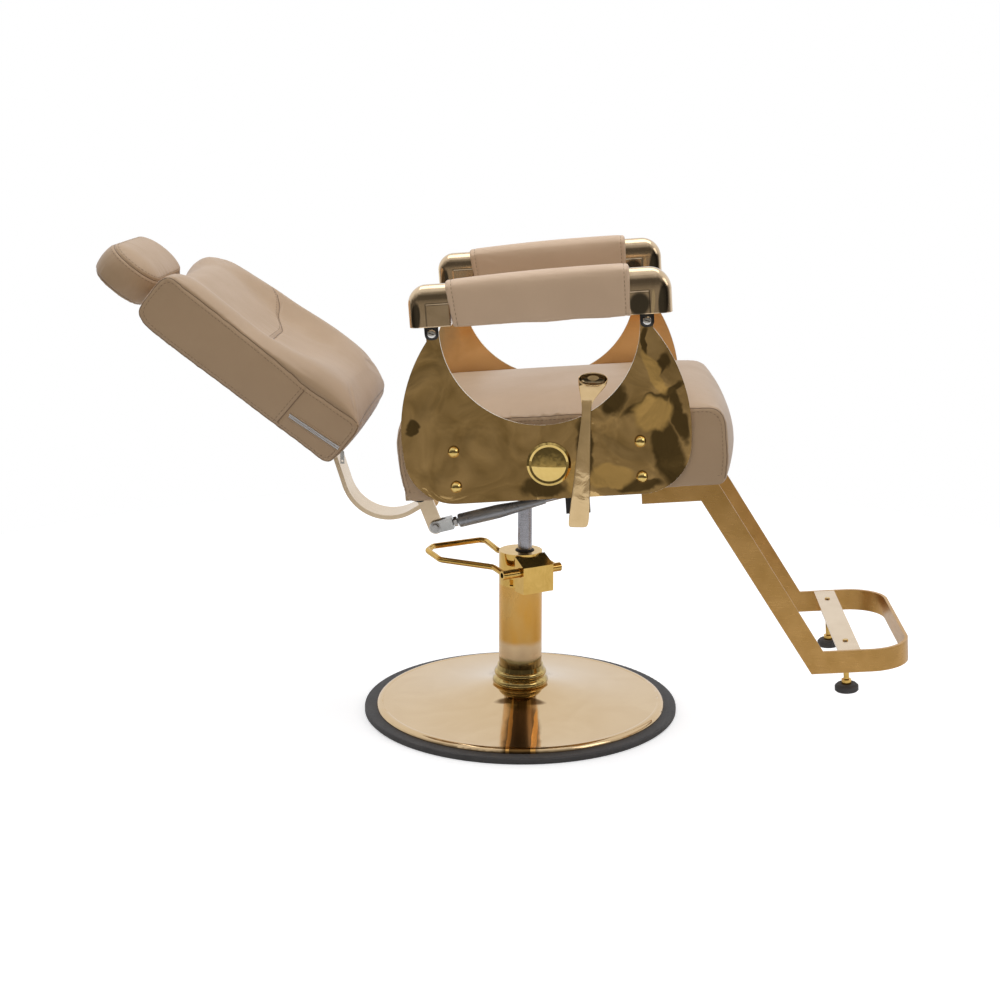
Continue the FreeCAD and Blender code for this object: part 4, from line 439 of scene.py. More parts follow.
# The collar's gold is painted darker than the pump's, as a dark reflection
COLLAR_GOLD_PAINTED_DARK = polished_gold("turned_collar", (0.62, 0.44, 0.16), (0.40, 0.28, 0.10), 0.025, 0.0001,
                            (0.05, 0.10))
TUBE_GOLD = hazed_gold("hazed_tube", 0.107)
NUT_GOLD = polished_gold("polished_nut", (0.86, 0.62, 0.22), (0.80, 0.56, 0.18), 0.02, 0.0, (0.05, 0.08))
LEVER_GOLD = polished_gold("polished_lever", (0.80, 0.58, 0.31), (0.72, 0.51, 0.26), 0.05, 0.0004,
                           (0.05, 0.10))
# Dark gold inside the lever's cup: painted shade in its hollow
CUP_SHADE_GOLD = polished_gold("lever_cup", (0.30, 0.22, 0.12), (0.20, 0.145, 0.08), 0.03, 0.0003)

EVEN = (300, 300, 300)
BAR_GOLD = brushed_metal("brushed_flat_bar", (0.59, 0.34, 0.115), (0.50, 0.28, 0.085), depth=0.000006)
BRACKET_GOLD = brushed_metal("pale_back_bar", (0.80, 0.63, 0.43), (0.74, 0.57, 0.38), (60, 60, 200),
                             (0.22, 0.25), 0.0)
RUBBER = brushed_metal("black_rubber", (0.066, 0.061, 0.058), (0.050, 0.046, 0.044), EVEN, (0.55, 0.7),
                       0.00004, 0.0)
RAM_STEEL = brushed_metal("ground_ram", (0.44, 0.43, 0.45), (0.36, 0.35, 0.37), (40, 40, 400), (0.2, 0.3),
                          0.000008)
ZIP_SILVER = brushed_metal("zip_silver", (0.86, 0.86, 0.86), (0.78, 0.78, 0.79), EVEN, (0.4, 0.5),
                           0.00002, 0.2)
ZINC = brushed_metal("zinc_plate", (0.72, 0.71, 0.68), (0.56, 0.56, 0.54), EVEN, (0.25, 0.4))
SCREW_STEEL = brushed_metal("bright_screw", (0.85, 0.83, 0.80), (0.70, 0.68, 0.65), EVEN, (0.15, 0.25),
                            0.00001)
DARK_STEEL = brushed_metal("black_steel", (0.055, 0.052, 0.05), (0.035, 0.033, 0.032), EVEN, (0.35, 0.5),
                           0.00004, 0.6)
LOCK_GREY = brushed_metal("grey_lock", (0.40, 0.41, 0.43), (0.35, 0.36, 0.38), (30, 30, 30),
                          (0.27, 0.29), 0.0, 0.4)
BOLT_STEEL = brushed_metal("bolt_steel", (0.60, 0.58, 0.55), (0.46, 0.44, 0.42), EVEN, (0.25, 0.4))
BASE_STEEL = brushed_metal("base_steel", (0.20, 0.20, 0.20), (0.14, 0.14, 0.14), EVEN, (0.5, 0.7),
                           0.00004, 0.8)
TIMBER = brushed_metal("plywood", (0.55, 0.40, 0.24), (0.42, 0.29, 0.16), (20, 200, 200), (0.6, 0.8),
                       0.00004, 0.0)

FINISH_OF_SLOT = {"gold": PUMP_GOLD, "gold_dish": DISH_GOLD, "upholstery": HIDE, "rubber": RUBBER,
                  "ram_steel": RAM_STEEL, "zinc": ZINC, "dark_steel": DARK_STEEL, "lock_grey": LOCK_GREY,
                  "timber": TIMBER, "bolt_steel": BOLT_STEEL, "base_steel": BASE_STEEL}
FINISH_OF_NODE = {"dome_nuts": NUT_GOLD, "side_boss": NUT_GOLD, "pump_tube": TUBE_GOLD,
                  "base_collar": COLLAR_GOLD_PAINTED_DARK, "footrest_frame": BAR_GOLD, "tread_strap": BRACKET_GOLD,
                  "recline_bracket": BRACKET_GOLD, "recline_lever": LEVER_GOLD,
                  "hinge_bracket": DARK_STEEL, "back_board": HIDE, "headrest_board": HIDE}


def finish_nodes():
    """Every node of the frame gets its own finish, or that of its slot."""
    for name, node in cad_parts.items():
        slot = node.data.materials[0].name.split(".")[0] if node.data.materials else ""
        paint = FINISH_OF_NODE.get(name) or FINISH_OF_SLOT.get(slot, PUMP_GOLD)
        for place in node.material_slots:
            place.link = "OBJECT"
            place.material = paint


# Lines and outlines, in mm
def smooth_loop(corners, steps=7):
    """A closed curve through corners of two or three numbers."""
    corners = np.array(corners, float)
    before, after = np.roll(corners, 1, axis=0), np.roll(corners, -1, axis=0)
    beyond = np.roll(corners, -2, axis=0)
    points = []
    for t in np.linspace(0, 1, steps, endpoint=False):
        points.append(0.5 * (2 * corners + (after - before) * t
                             + (2 * before - 5 * corners + 4 * after - beyond) * t ** 2
                             + (3 * corners - 3 * after + beyond - before) * t ** 3))
    return np.stack(points, axis=1).reshape(-1, corners.shape[1])


def run_of(points):
    """How far along the line each of its points lies."""
    return np.concatenate(([0], np.cumsum(np.linalg.norm(np.diff(points, axis=0), axis=1))))


def points_at(marks, run, points):
    """The line's points at the marks, where run is the place of its own points."""
    return np.stack([np.interp(marks, run, points[:, k]) for k in range(points.shape[1])], axis=1)


def even_line(points, step=1.0):
    points = np.array(points, float)
    run = run_of(points)
    return points_at(np.arange(0, run[-1], step), run, points)


def closed_line(ring):
    return even_line(np.vstack([ring, ring[:1]]))


def recounted(loop, count):
    """The closed outline with count points."""
    marks = np.linspace(0, len(loop), count, endpoint=False)
    return points_at(marks, range(len(loop) + 1), np.vstack([loop, loop[:1]]))


def rounded_loop(corners, step=6.5):
    """Closed outline, evenly spaced, from corners (x, z, rounding)."""
    points = []
    for i, (x, z, rounding) in enumerate(corners):
        here = np.array((x, z), float)
        last = np.array(corners[i - 1][:2], float)
        following = np.array(corners[(i + 1) % len(corners)][:2], float)
        if rounding <= 0:
            points.append(here)
            continue
        a = here + (last - here) / np.linalg.norm(last - here) * rounding
        b = here + (following - here) / np.linalg.norm(following - here) * rounding
        for t in np.linspace(0, 1, 9):
            points.append((1 - t) ** 2 * a + 2 * t * (1 - t) * here + t ** 2 * b)
    loop = np.array(points + [points[0]])
    run = run_of(loop)
    return points_at(np.linspace(0, run[-1], int(run[-1] / step), endpoint=False), run, loop)


def at_side(loop, y):
    """A flat outline (x, z) set at y."""
    return np.stack([loop[:, 0], np.full(len(loop), float(y)), loop[:, 1]], axis=1)


def outward(loop):
    """Unit normals of an outline, pointing out of it."""
    along = np.roll(loop, -1, axis=0) - np.roll(loop, 1, axis=0)
    turned = np.stack([along[:, 1], -along[:, 0]], axis=1)
    turned /= np.linalg.norm(turned, axis=1)[:, None]
    if ((loop - loop.mean(axis=0)) * turned).sum() < 0:
        turned = -turned
    return turned


# Skins: closed meshes over rings of equal count, whose first and last ring are points
def closing_rings(edge, lift, steps=7):
    """Rings from an edge in to its middle, bulging by lift; the last one is a point."""
    middle = edge.mean(axis=0)
    return [middle + (edge - middle) * (1 - k / steps) + np.array(lift) * (1 - (1 - k / steps) ** 3)
            for k in range(1, steps)] + [middle[None, :] + np.array(lift)]


def closed_off(rings, lift, steps=7):
    """The rings with both ends closed: the last bulges by lift, the first the other way."""
    lift = np.array(lift)
    return closing_rings(rings[0], -lift, steps)[::-1] + rings + closing_rings(rings[-1], lift, steps)


def pointed(rings):
    """The rings with a point in the middle of each end."""
    return [rings[0].mean(axis=0)[None, :]] + rings + [rings[-1].mean(axis=0)[None, :]]


def smooth(mesh, on=True):
    mesh.polygons.foreach_set("use_smooth", [on] * len(mesh.polygons))


def skin_over(name, place, rings):
    """The skin over rings given in mm of the frame place."""
    count = len(rings[1])
    inner = rings[1:-1]
    vertices = [tuple(p) for ring in inner for p in ring] + [tuple(rings[0][0]), tuple(rings[-1][0])]
    faces = []
    for r in range(len(inner) - 1):
        for i in range(count):
            j = (i + 1) % count
            faces.append((r * count + i, r * count + j, (r + 1) * count + j, (r + 1) * count + i))
    low, last = len(vertices) - 2, (len(inner) - 1) * count
    for i in range(count):
        j = (i + 1) % count
        faces.append((low, j, i))
        faces.append((low + 1, last + i, last + j))
    mesh = bpy.data.meshes.new(name)
    mesh.from_pydata([tuple(place @ (Vector(v) * MM)) for v in vertices], [], faces)
    work = bmesh.new()
    work.from_mesh(mesh)
    bmesh.ops.recalc_face_normals(work, faces=work.faces)
    work.to_mesh(mesh)
    work.free()
    smooth(mesh)
    return put(name, mesh)


def settle(item):
    """The item's evaluated mesh becomes its own, and its modifiers go."""
    graph = bpy.context.evaluated_depsgraph_get()
    graph.update()
    mesh = bpy.data.meshes.new_from_object(item.evaluated_get(graph))
    item.modifiers.clear()
    item.data = mesh
    smooth(mesh)


def refine(item, levels=1):
    finer = item.modifiers.new("finer", "SUBSURF")
    finer.levels = levels
    finer.render_levels = levels
    settle(item)


def vectors_of(mesh, kind="co"):
    """The places of the mesh's vertices, or their normals."""
    flat = np.empty(len(mesh.vertices) * 3)
    mesh.vertices.foreach_get(kind, flat)
    return flat.reshape(-1, 3)


def set_points(mesh, points):
    mesh.vertices.foreach_set("co", np.ascontiguousarray(points).ravel())
    mesh.update()


def local(points, place):
    """Points of the scene, in mm of the frame place."""
    turned = np.array(place.inverted())
    return (points @ turned[:3, :3].T + turned[:3, 3]) / MM


def away(points, place):
    """Points in mm of the frame place, back in the scene."""
    turned = np.array(place)
    return (points * MM) @ turned[:3, :3].T + turned[:3, 3]


def hard_piece(item, ride, slot, *paints, stands_for=None):
    """A finished rigid piece: its finishes, its body and the node it stands for; slot is not used."""
    for paint in paints:
        item.data.materials.append(paint)
    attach(item, ride)
    if stands_for:
        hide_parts(stands_for)


# Covers: filled like cushions, then refined and sewn
CLOTH = {"quality": 4, "mass": 0.3, "tension_stiffness": 12, "compression_stiffness": 12,
         "bending_stiffness": 0.6, "use_pressure": True, "vertex_group_mass": "sewn"}
CLOTH_STEPS = 20
LONG_FOLD, SHORT_FOLD, FOLDS_FROM = 11.0, 5.0, 4.0


def stuff(item, voxel, cap, held, pressure=4.0):
    """Blows the cover up like a filled cushion. Held points stay; no point moves further than cap."""
    remesh = item.modifiers.new("even_faces", "REMESH")
    remesh.mode = "VOXEL"
    remesh.voxel_size = voxel
    settle(item)
    start = vectors_of(item.data)
    pins = item.vertex_groups.new(name=CLOTH["vertex_group_mass"])
    pins.add([int(i) for i in np.nonzero(held(start))[0]], 1.0, "REPLACE")
    cloth = item.modifiers.new("cover", "CLOTH")
    for label, value in CLOTH.items():
        setattr(cloth.settings, label, value)
    cloth.settings.uniform_pressure_force = pressure
    cloth.settings.effector_weights.gravity = 0
    cloth.collision_settings.use_collision = False
    cloth.collision_settings.use_self_collision = False
    for step in range(1, CLOTH_STEPS + 1):
        scene.frame_set(step)
    graph = bpy.context.evaluated_depsgraph_get()
    shift = vectors_of(item.evaluated_get(graph).data) - start
    length = np.linalg.norm(shift, axis=1)
    shift *= (np.tanh(length / cap) * cap / np.maximum(length, 1e-9))[:, None]
    item.modifiers.clear()
    item.vertex_groups.clear()
    scene.frame_set(1)
    set_points(item.data, start + shift)


def tree_of(samples):
    tree = kdtree.KDTree(len(samples))
    for k, p in enumerate(samples):
        tree.insert(p, k)
    tree.balance()
    return tree


def near_lines(lines, place, gap):
    """Tells which points lie within gap mm of the lines."""
    tree = tree_of(np.concatenate(lines))

    def test(points):
        return np.array([tree.find(p)[2] < gap for p in local(points, place)])

    return test


def snapped(item, place, line, lift=0.0, evened=5):
    """The line laid on the cover and lifted off it, evened out over its neighbours on each side."""
    tree = BVHTree.FromPolygons([tuple(p) for p in local(vectors_of(item.data), place)],
                                [tuple(f.vertices) for f in item.data.polygons])
    found = [tree.find_nearest(Vector(p)) for p in line]
    raw = np.array([spot + normal * lift for spot, normal, face, gap in found])
    ends = np.vstack([raw[:1].repeat(evened, axis=0), raw, raw[-1:].repeat(evened, axis=0)])
    return even_line(np.mean([ends[k:k + len(raw)] for k in range(2 * evened + 1)], axis=0))


def sewn_seam(item, place, lines, depth=2.2, width=3.5, pucker=0.9, reach=22.0, seed=3, gathers=None):
    """Presses seams into a cover: a groove along each line, with gathers running off it."""
    mesh = item.data
    points = local(vectors_of(mesh), place)
    normals = vectors_of(mesh, "normal") @ np.array(place.inverted())[:3, :3].T
    tree = tree_of(np.concatenate(lines))
    lift = np.zeros(len(points))
    for i, p in enumerate(points):
        spot, k, gap = tree.find(p)
        if gap > 3 * reach:
            continue
        gather = noise.noise(Vector((k / LONG_FOLD, seed, 0)))
        gather += 0.6 * noise.noise(Vector((k / SHORT_FOLD, seed, 4)))
        pull = pucker * (1 + (gathers(spot) if gathers else 0))
        lift[i] = -depth * math.exp(-(gap / width) ** 2)
        lift[i] += pull * gather * math.exp(-gap / reach) * (1 - math.exp(-(gap / FOLDS_FROM) ** 2))
    set_points(mesh, away(points + normals * lift[:, None], place))


def drawn_in(line, towards, shrink, out):
    """A seam's line drawn in on its side panel towards a place (u, w), and out of it by some mm."""
    middle = np.array((towards[0], line[0][1], towards[1]))
    return middle + (line - middle) * np.array(shrink) + (0, math.copysign(out, line[0][1]), 0)


def soft_piece(item, node, ride, paint=HIDE):
    item.data.materials.append(paint)
    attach(item, ride)
    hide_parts(node)


# Rows of small pieces along a path, and cords, made by geometry nodes
def path_tree(name, sizes):
    """A tree that takes a path, named sizes and a finish: the tree, what it is given and the curve."""
    tree = bpy.data.node_groups.new(name, "GeometryNodeTree")
    sockets = [("Path", "INPUT", "Geometry")] + [(label, "INPUT", "Float") for label in sizes]
    for label, side, kind in sockets + [("Finish", "INPUT", "Material"), ("Result", "OUTPUT", "Geometry")]:
        tree.interface.new_socket(label, in_out=side, socket_type="NodeSocket" + kind)
    given = add_node(tree, "NodeGroupInput").outputs
    return tree, given, add_node(tree, "GeometryNodeMeshToCurve", {0: given["Path"]}).outputs[0]


def close_tree(tree, given, shape):
    """Makes the shape real, gives it its finish and puts it out."""
    real = add_node(tree, "GeometryNodeRealizeInstances", {0: shape.outputs[0]}).outputs[0]
    paint = add_node(tree, "GeometryNodeSetMaterial", {"Geometry": real, "Material": given["Finish"]})
    add_node(tree, "NodeGroupOutput", {"Result": paint.outputs[0]})
    return tree


def row_tree(name, piece_kind, piece_sizes):
    """A row of one small piece, Spacing apart and turned along the path."""
    tree, given, curve = path_tree(name, ("Spacing", "Length", "Width", "Height"))
    dots = add_node(tree, "GeometryNodeCurveToPoints", {"Curve": curve, "Length": given["Spacing"]},
                    mode="LENGTH").outputs
    size = add_node(tree, "ShaderNodeCombineXYZ",
                    {"X": given["Length"], "Y": given["Width"], "Z": given["Height"]}).outputs[0]
    piece = add_node(tree, piece_kind, piece_sizes).outputs[0]
    shape = add_node(tree, "GeometryNodeTransform", {"Geometry": piece, "Scale": size}).outputs[0]
    turn = add_node(tree, "FunctionNodeAlignRotationToVector", {"Vector": dots["Tangent"]},
                    axis="X").outputs[0]
    return close_tree(tree, given, add_node(tree, "GeometryNodeInstanceOnPoints",
                                            {"Points": dots["Points"], "Instance": shape,
                                             "Rotation": turn}))


def cord_tree():
    """A thin round cord along each path."""
    tree, given, curve = path_tree("seam_cord", ("Radius",))
    section = add_node(tree, "GeometryNodeCurvePrimitiveCircle",
                       {"Resolution": 8, "Radius": given["Radius"]}).outputs["Curve"]
    return close_tree(tree, given, add_node(tree, "GeometryNodeCurveToMesh",
                                            {"Curve": curve, "Profile Curve": section,
                                             "Fill Caps": True}))


STITCH_ROW = row_tree("stitch_row", "GeometryNodeMeshIcoSphere", {"Radius": 0.5, "Subdivisions": 2})
TOOTH_ROW = row_tree("zip_tooth_row", "GeometryNodeMeshCube", {})
SEAM_CORD = cord_tree()
STITCH = {"Spacing": 0.0072, "Length": 0.0050, "Width": 0.0013, "Height": 0.0009}
TOOTH = {"Spacing": 0.0022, "Length": 0.0014, "Width": 0.0036, "Height": 0.0024}
CORD = {"Radius": 0.0007}
THREAD_LIFT = 0.05


def row_piece(name, ride, slot, lines, tree, sizes, paint, rounded=True):
    """Rows along lines given in metres, turned into one plain mesh that rides on a body."""
    mesh = bpy.data.meshes.new(name)
    vertices = [tuple(p) for line in lines for p in line]
    edges, first = [], 0
    for line in lines:
        edges += [(first + i, first + i + 1) for i in range(len(line) - 1)]
        first += len(line)
    mesh.from_pydata(vertices, edges, [])
    item = put(name, mesh)
    row = item.modifiers.new("row", "NODES")
    row.node_group = tree
    given = {**sizes, "Finish": paint}
    for socket in tree.interface.items_tree:
        if socket.name in given:
            row[socket.identifier] = given[socket.name]
    settle(item)
    smooth(item.data, rounded)
    hard_piece(item, ride, slot)


def laid(rows):
    """Rows of (cover, frame of the cover, line in mm) laid on their covers, in metres."""
    return [away(snapped(cover, place, line, THREAD_LIFT), place) for cover, place, line in rows]


def stitched(name, ride, rows):
    """Topstitching along the rows."""
    row_piece(name, ride, "upholstery", laid(rows), STITCH_ROW, STITCH, THREAD)


def shade_seams(name, ride, rows):
    """A thin dark cord lying low in the groove where two panels join, painted shade of the joint."""
    row_piece(name, ride, "upholstery", laid(rows), SEAM_CORD, CORD, SEAM_SHADE_TAN)


# Seat cushion: one strip round the side outline, between two side panels
SEAT_SIDE = rounded_loop([(-186, 8, 12), (366, 8, 14), (371.5, 57, 0), (371.5, 103, 0), (368, 146, 30),
                          (300, 147, 0), (60, 148, 0), (-194, 148, 30), (-196, 98, 0), (-194, 55, 0)])
SEAT_HALF = 256
SEAT_WIDEST = 260.5
SEAT_UNDER = 8.6
SEAT_HELD_TO = 14


def seat_swell(point, normal, share):
    """How far the strip stands out; share is 0 in the middle and 1 at the side seams."""
    crown = 1 - share ** 2.6
    up, fore, aft = max(normal[1], 0), max(normal[0], 0), max(-normal[0], 0)
    end = min(1.0, max(0.0, (366 - point[0]) / 60), max(0.0, (point[0] + 190) / 60))
    belly = 0.6 + 0.4 * math.exp(-((point[1] - 62) / 42) ** 2)
    return crown * (20 * up ** 2 * end ** 0.5 + 22 * belly * fore ** 2 * (1 - up) + 11 * aft ** 2)


def seat_held(close):
    """Held are the seams and the underside."""
    return lambda points: close(points) | (local(points, SEAT)[:, 2] < SEAT_HELD_TO)


def seat_gathers(spot):
    """The cover pulls together where the side plates press on it."""
    return 1.8 * math.exp(-((spot[0] - 40) / 70) ** 2) * (spot[2] > 120)


def make_seat_cushion():
    normals = outward(SEAT_SIDE)
    strip = []
    for t in np.linspace(-1, 1, 21):
        out = np.array([seat_swell(p, n, abs(t)) for p, n in zip(SEAT_SIDE, normals)])
        strip.append(at_side(SEAT_SIDE + normals * out[:, None], (SEAT_HALF - 1) * t))
    item = skin_over("seat_cover", SEAT, closed_off(strip, (0, 2, 0)))
    seams = [closed_line(at_side(SEAT_SIDE, y)) for y in (-SEAT_HALF, SEAT_HALF)]
    seams = [line[line[:, 2] > SEAT_HELD_TO] for line in seams]
    stuff(item, 0.006, 0.009, seat_held(near_lines(seams, SEAT, 5)))
    refine(item)
    sewn_seam(item, SEAT, seams, depth=2.6, width=3.2, pucker=1.2, reach=24, gathers=seat_gathers)
    points = local(vectors_of(item.data), SEAT)
    points[:, 1] = np.clip(points[:, 1], -SEAT_WIDEST, SEAT_WIDEST)
    points[:, 2] = np.maximum(points[:, 2], SEAT_UNDER)
    set_points(item.data, away(points, SEAT))
    soft_piece(item, "seat_cushion", "seat")
    inner = [drawn_in(line, (90, 78), (0.972, 1, 0.89), 3) for line in seams]
    stitched("seat_stitching", "seat", [(item, SEAT, line[line[:, 2] > 18]) for line in inner])
    shade_seams("seat_seam_shade", "seat", [(item, SEAT, line) for line in seams])


# Back cushion: side outline at the seams, crests of the two bolsters and the hollow between them
BACK_HALF = 216
BACK_RIM = np.array([(66, 172), (64.6, 199), (61.3, 242), (57.5, 283), (59.5, 333), (59.4, 400),
                     (58.6, 467), (56.5, 546), (57, 578), (47, 589), (20, 592), (-10, 592), (-32, 586),
                     (-41, 557), (-40, 482), (-36, 394), (-33, 306), (-29.5, 226), (-28, 178),
                     (-18, 166), (24, 163), (54, 164)], float)
BACK_CREST = np.array([(68, 175), (83, 200), (92, 242), (92, 285), (88, 333), (79, 400), (70, 467),
                       (58, 543), (48, 578), (36, 599), (16, 608), (-8, 605), (-31, 590), (-43, 558),
                       (-42, 482), (-38, 394), (-35, 306), (-31, 226), (-29, 176), (-18, 165),
                       (20, 161), (50, 163)], float)
# How much rounder the far rim is, and how the near crest differs, corner by corner
FAR_RIM = BACK_RIM + np.array([(-6, 7), (-2, 2)] + [(0, 0)] * 5 + [(-1, 0), (-11, -2), (-13, 1), (-2, 0)]
                              + [(0, 0)] * 10 + [(-12, 8)], float)
NEAR_RISE = np.array([(0, 0), (0, 0), (-2, 0), (-3, 0), (-9, 0), (-10, 0), (-2, 0), (8, 0), (9, 4),
                      (8, -8), (6, -14), (0, -12), (0, -4)] + [(0, 0)] * 9, float)
HOLLOW = np.array([3, 5, 9, 14, 21, 22, 17, 9, 8, 8, 6] + [0] * 10 + [1], float)
# Where, from the middle to the crest, the hollow begins to climb
LEVEL_TO = np.array([.1, .1, .1, .1, .32, .48, .5, .5, .45, .3, .1] + [.1] * 11)
TOP_DIP = (4, 8, 9, 5)
CREST_AT, CREST_TO_SEAM = 0.8, 0.2
STATIONS = [0, 0.12, 0.24, 0.36, 0.45, 0.53, 0.6, 0.66, 0.72, 0.78, 0.84, 0.89, 0.93, 0.96, 0.98, 0.993, 1]


def back_station(t):
    """Outline corners at t, from -1 at the near seam to 1 at the far one."""
    crest = BACK_CREST + NEAR_RISE * (t < 0)
    middle = BACK_CREST + NEAR_RISE / 2 - np.stack([HOLLOW, np.zeros(len(HOLLOW))], axis=1)
    middle[8:12, 1] -= TOP_DIP
    across = abs(t)
    if across <= CREST_AT:
        climb = np.clip((across - LEVEL_TO) / (CREST_AT - LEVEL_TO), 0, 1)[:, None]
        return middle + (crest - middle) * climb ** 2 * (3 - 2 * climb)
    rim = FAR_RIM if t > 0 else BACK_RIM
    return rim + (crest - rim) * math.sqrt(max(0.0, 1 - ((across - CREST_AT) / CREST_TO_SEAM) ** 2))


def yoke_line():
    """The curved seam across the front, low in the middle and high at the bolsters."""
    line = []
    for y in np.linspace(-142, 176, 90):
        share = (max(0, y) / 214) ** 1.7 + 0.7 * (max(0, -y - 80) / 134) ** 1.8
        line.append((90, y, 389 + 100 * share))
    return line


def behind(limit, close):
    """Held are the seams and what lies behind n = limit of the back."""
    return lambda points: close(points) | (local(points, BACK)[:, 0] < limit)


def back_gathers(spot):
    """The cover is pulled together at the upper front corners."""
    return 2.2 * math.exp(-(((spot[0] - 56) / 22) ** 2 + ((spot[2] - 588) / 30) ** 2))


def make_back_cushion():
    strip = [at_side(smooth_loop(back_station(t)), (BACK_HALF - 1) * t)
             for t in [-t for t in STATIONS[:0:-1]] + STATIONS]
    item = skin_over("back_cover", BACK, closed_off(strip, (0, 3, 0)))
    seams = [closed_line(at_side(smooth_loop(rim), y))
             for rim, y in ((BACK_RIM, -BACK_HALF), (FAR_RIM, BACK_HALF))]
    stuff(item, 0.0055, 0.004, behind(-28, near_lines(seams, BACK, 5)), 3.0)
    refine(item)
    sewn_seam(item, BACK, seams, depth=2.4, width=3.0, pucker=0.7, reach=18, seed=5, gathers=back_gathers)
    yoke = snapped(item, BACK, yoke_line())
    panels = [snapped(item, BACK, [(n, side * 219, 281 - 0.02 * n) for n in np.linspace(-32, 56, 40)])
              for side in (-1, 1)]
    low_edge = snapped(item, BACK, [(62, y, 160) for y in np.linspace(-206, 206, 60)])
    sewn_seam(item, BACK, [yoke], depth=3.4, width=3.6, pucker=0.8, reach=24, seed=8)
    sewn_seam(item, BACK, panels + [low_edge], depth=1.8, width=2.6, pucker=0.5, reach=12, seed=9)
    soft_piece(item, "back_cushion", "back")
    rows = [line + np.array((0, 0, 7)) for line in [yoke] + panels]
    rows += [drawn_in(line, (10, 380), (0.84, 1, 0.964), 4) for line in seams]
    stitched("back_stitching", "back", [(item, BACK, line) for line in rows])
    shade_seams("back_seam_shade", "back", [(item, BACK, line) for line in seams + panels + [yoke, low_edge]])
    make_zip(item)


# Side zip of the back cover: two rows of teeth between narrow tapes
ZIP_TOP, ZIP_END = np.array((-0.8, -220, 274)), np.array((9.5, -220, 168))
TOOTH_ROWS = ((-1.7, 0.0), (1.7, 1.1))
TAPE_EDGES = (-7.0, -3.4, 3.4, 7.0)
TAPE_POINTS = 100


def make_zip(cover):
    along = (ZIP_END - ZIP_TOP) / np.linalg.norm(ZIP_END - ZIP_TOP)
    across = np.array((along[2], 0, -along[0]))
    teeth, vertices, faces = [], [], []
    for shift, late in TOOTH_ROWS:
        line = [ZIP_TOP + along * (late + k) + across * shift for k in range(106)]
        teeth.append(away(snapped(cover, BACK, line, 0.9), BACK))
    row_piece("zip_teeth", "back", "zinc", teeth, TOOTH_ROW, TOOTH, ZIP_SILVER, False)
    for shift in TAPE_EDGES:
        line = [ZIP_TOP + along * (k * 2.0) + across * shift for k in range(-1, 54)]
        vertices += [tuple(p) for p in away(snapped(cover, BACK, line, 0.35)[:TAPE_POINTS], BACK)]
    for edge in (0, 2):
        for i in range(TAPE_POINTS - 1):
            a, b = edge * TAPE_POINTS + i, (edge + 1) * TAPE_POINTS + i
            faces.append((a, a + 1, b + 1, b))
    mesh = bpy.data.meshes.new("zip_tapes")
    mesh.from_pydata(vertices, [], faces)
    item = put("zip_tapes", mesh)
    thick = item.modifiers.new("thickness", "SOLIDIFY")
    thick.thickness = 0.0007
    thick.offset = 0
    settle(item)
    hard_piece(item, "back", "upholstery", HIDE)


# Headrest: a rounded block, with a strip between its front and rear seams
REST_HALF = 123
REST_LOW, REST_HIGH = 606, 711
REST_CORNER = 50
REAR_SEAM, FRONT_SEAM = -52, 4
REST_REAR = [(-55, 49), (-55.5, 34), (-56, 20), (-56, 9), (-55, 3)]
REST_STRIP = [(REAR_SEAM, 0), (-46, -3), (-36, -5), (-22, -6), (-10, -4.5), (-2, -2), (FRONT_SEAM, 0)]
REST_FRONT = [(8, 4), (11.5, 10), (14.5, 18), (17, 28), (18.6, 38), (19, 49)]


def rest_ring(level, inset):
    """Rounded plan of the headrest at n = level, pulled in by inset."""
    half, low, high = REST_HALF - inset, REST_LOW + inset * 0.98, REST_HIGH - inset * 0.98
    radius = max(2.0, min(REST_CORNER - inset, (high - low) / 2 - 0.5))
    loop = []
    for y, s, turn in ((half, high, 0), (-half, high, 90), (-half, low, 180), (half, low, 270)):
        middle = (y - math.copysign(radius, y), s - math.copysign(radius, s - (low + high) / 2))
        for k in range(13):
            angle = math.radians(turn + 7.5 * k)
            loop.append((middle[0] + radius * math.cos(angle), middle[1] + radius * math.sin(angle)))
    return np.array([(level, y, s) for y, s in loop])


def make_head_cushion():
    rings = [rest_ring(level, inset) for level, inset in REST_REAR + REST_STRIP + REST_FRONT]
    item = skin_over("headrest_cover", BACK, pointed(rings))
    seams = [closed_line(rest_ring(level, 0)) for level in (FRONT_SEAM, REAR_SEAM)]
    stuff(item, 0.0045, 0.005, behind(-53, near_lines(seams, BACK, 4)))
    refine(item)
    sewn_seam(item, BACK, seams, depth=2.0, width=2.8, pucker=0.9, reach=16, seed=11)
    soft_piece(item, "headrest_cushion", "headrest")
    rows = [(item, BACK, closed_line(rest_ring(level, inset))) for level, inset in ((10, 5), (-2, -2))]
    stitched("headrest_stitching", "headrest", rows)
    shade_seams("headrest_seam_shade", "headrest", [(item, BACK, line) for line in seams])


# Arm pads: padded sleeves round the arm rails, hemmed at both ends
ARM_MIDDLE = 277
PAD_REAR, PAD_FRONT = -89, 219
PAD_UNDER, PAD_TOP = 314, 390
HEMS = (0.034, 0.972)


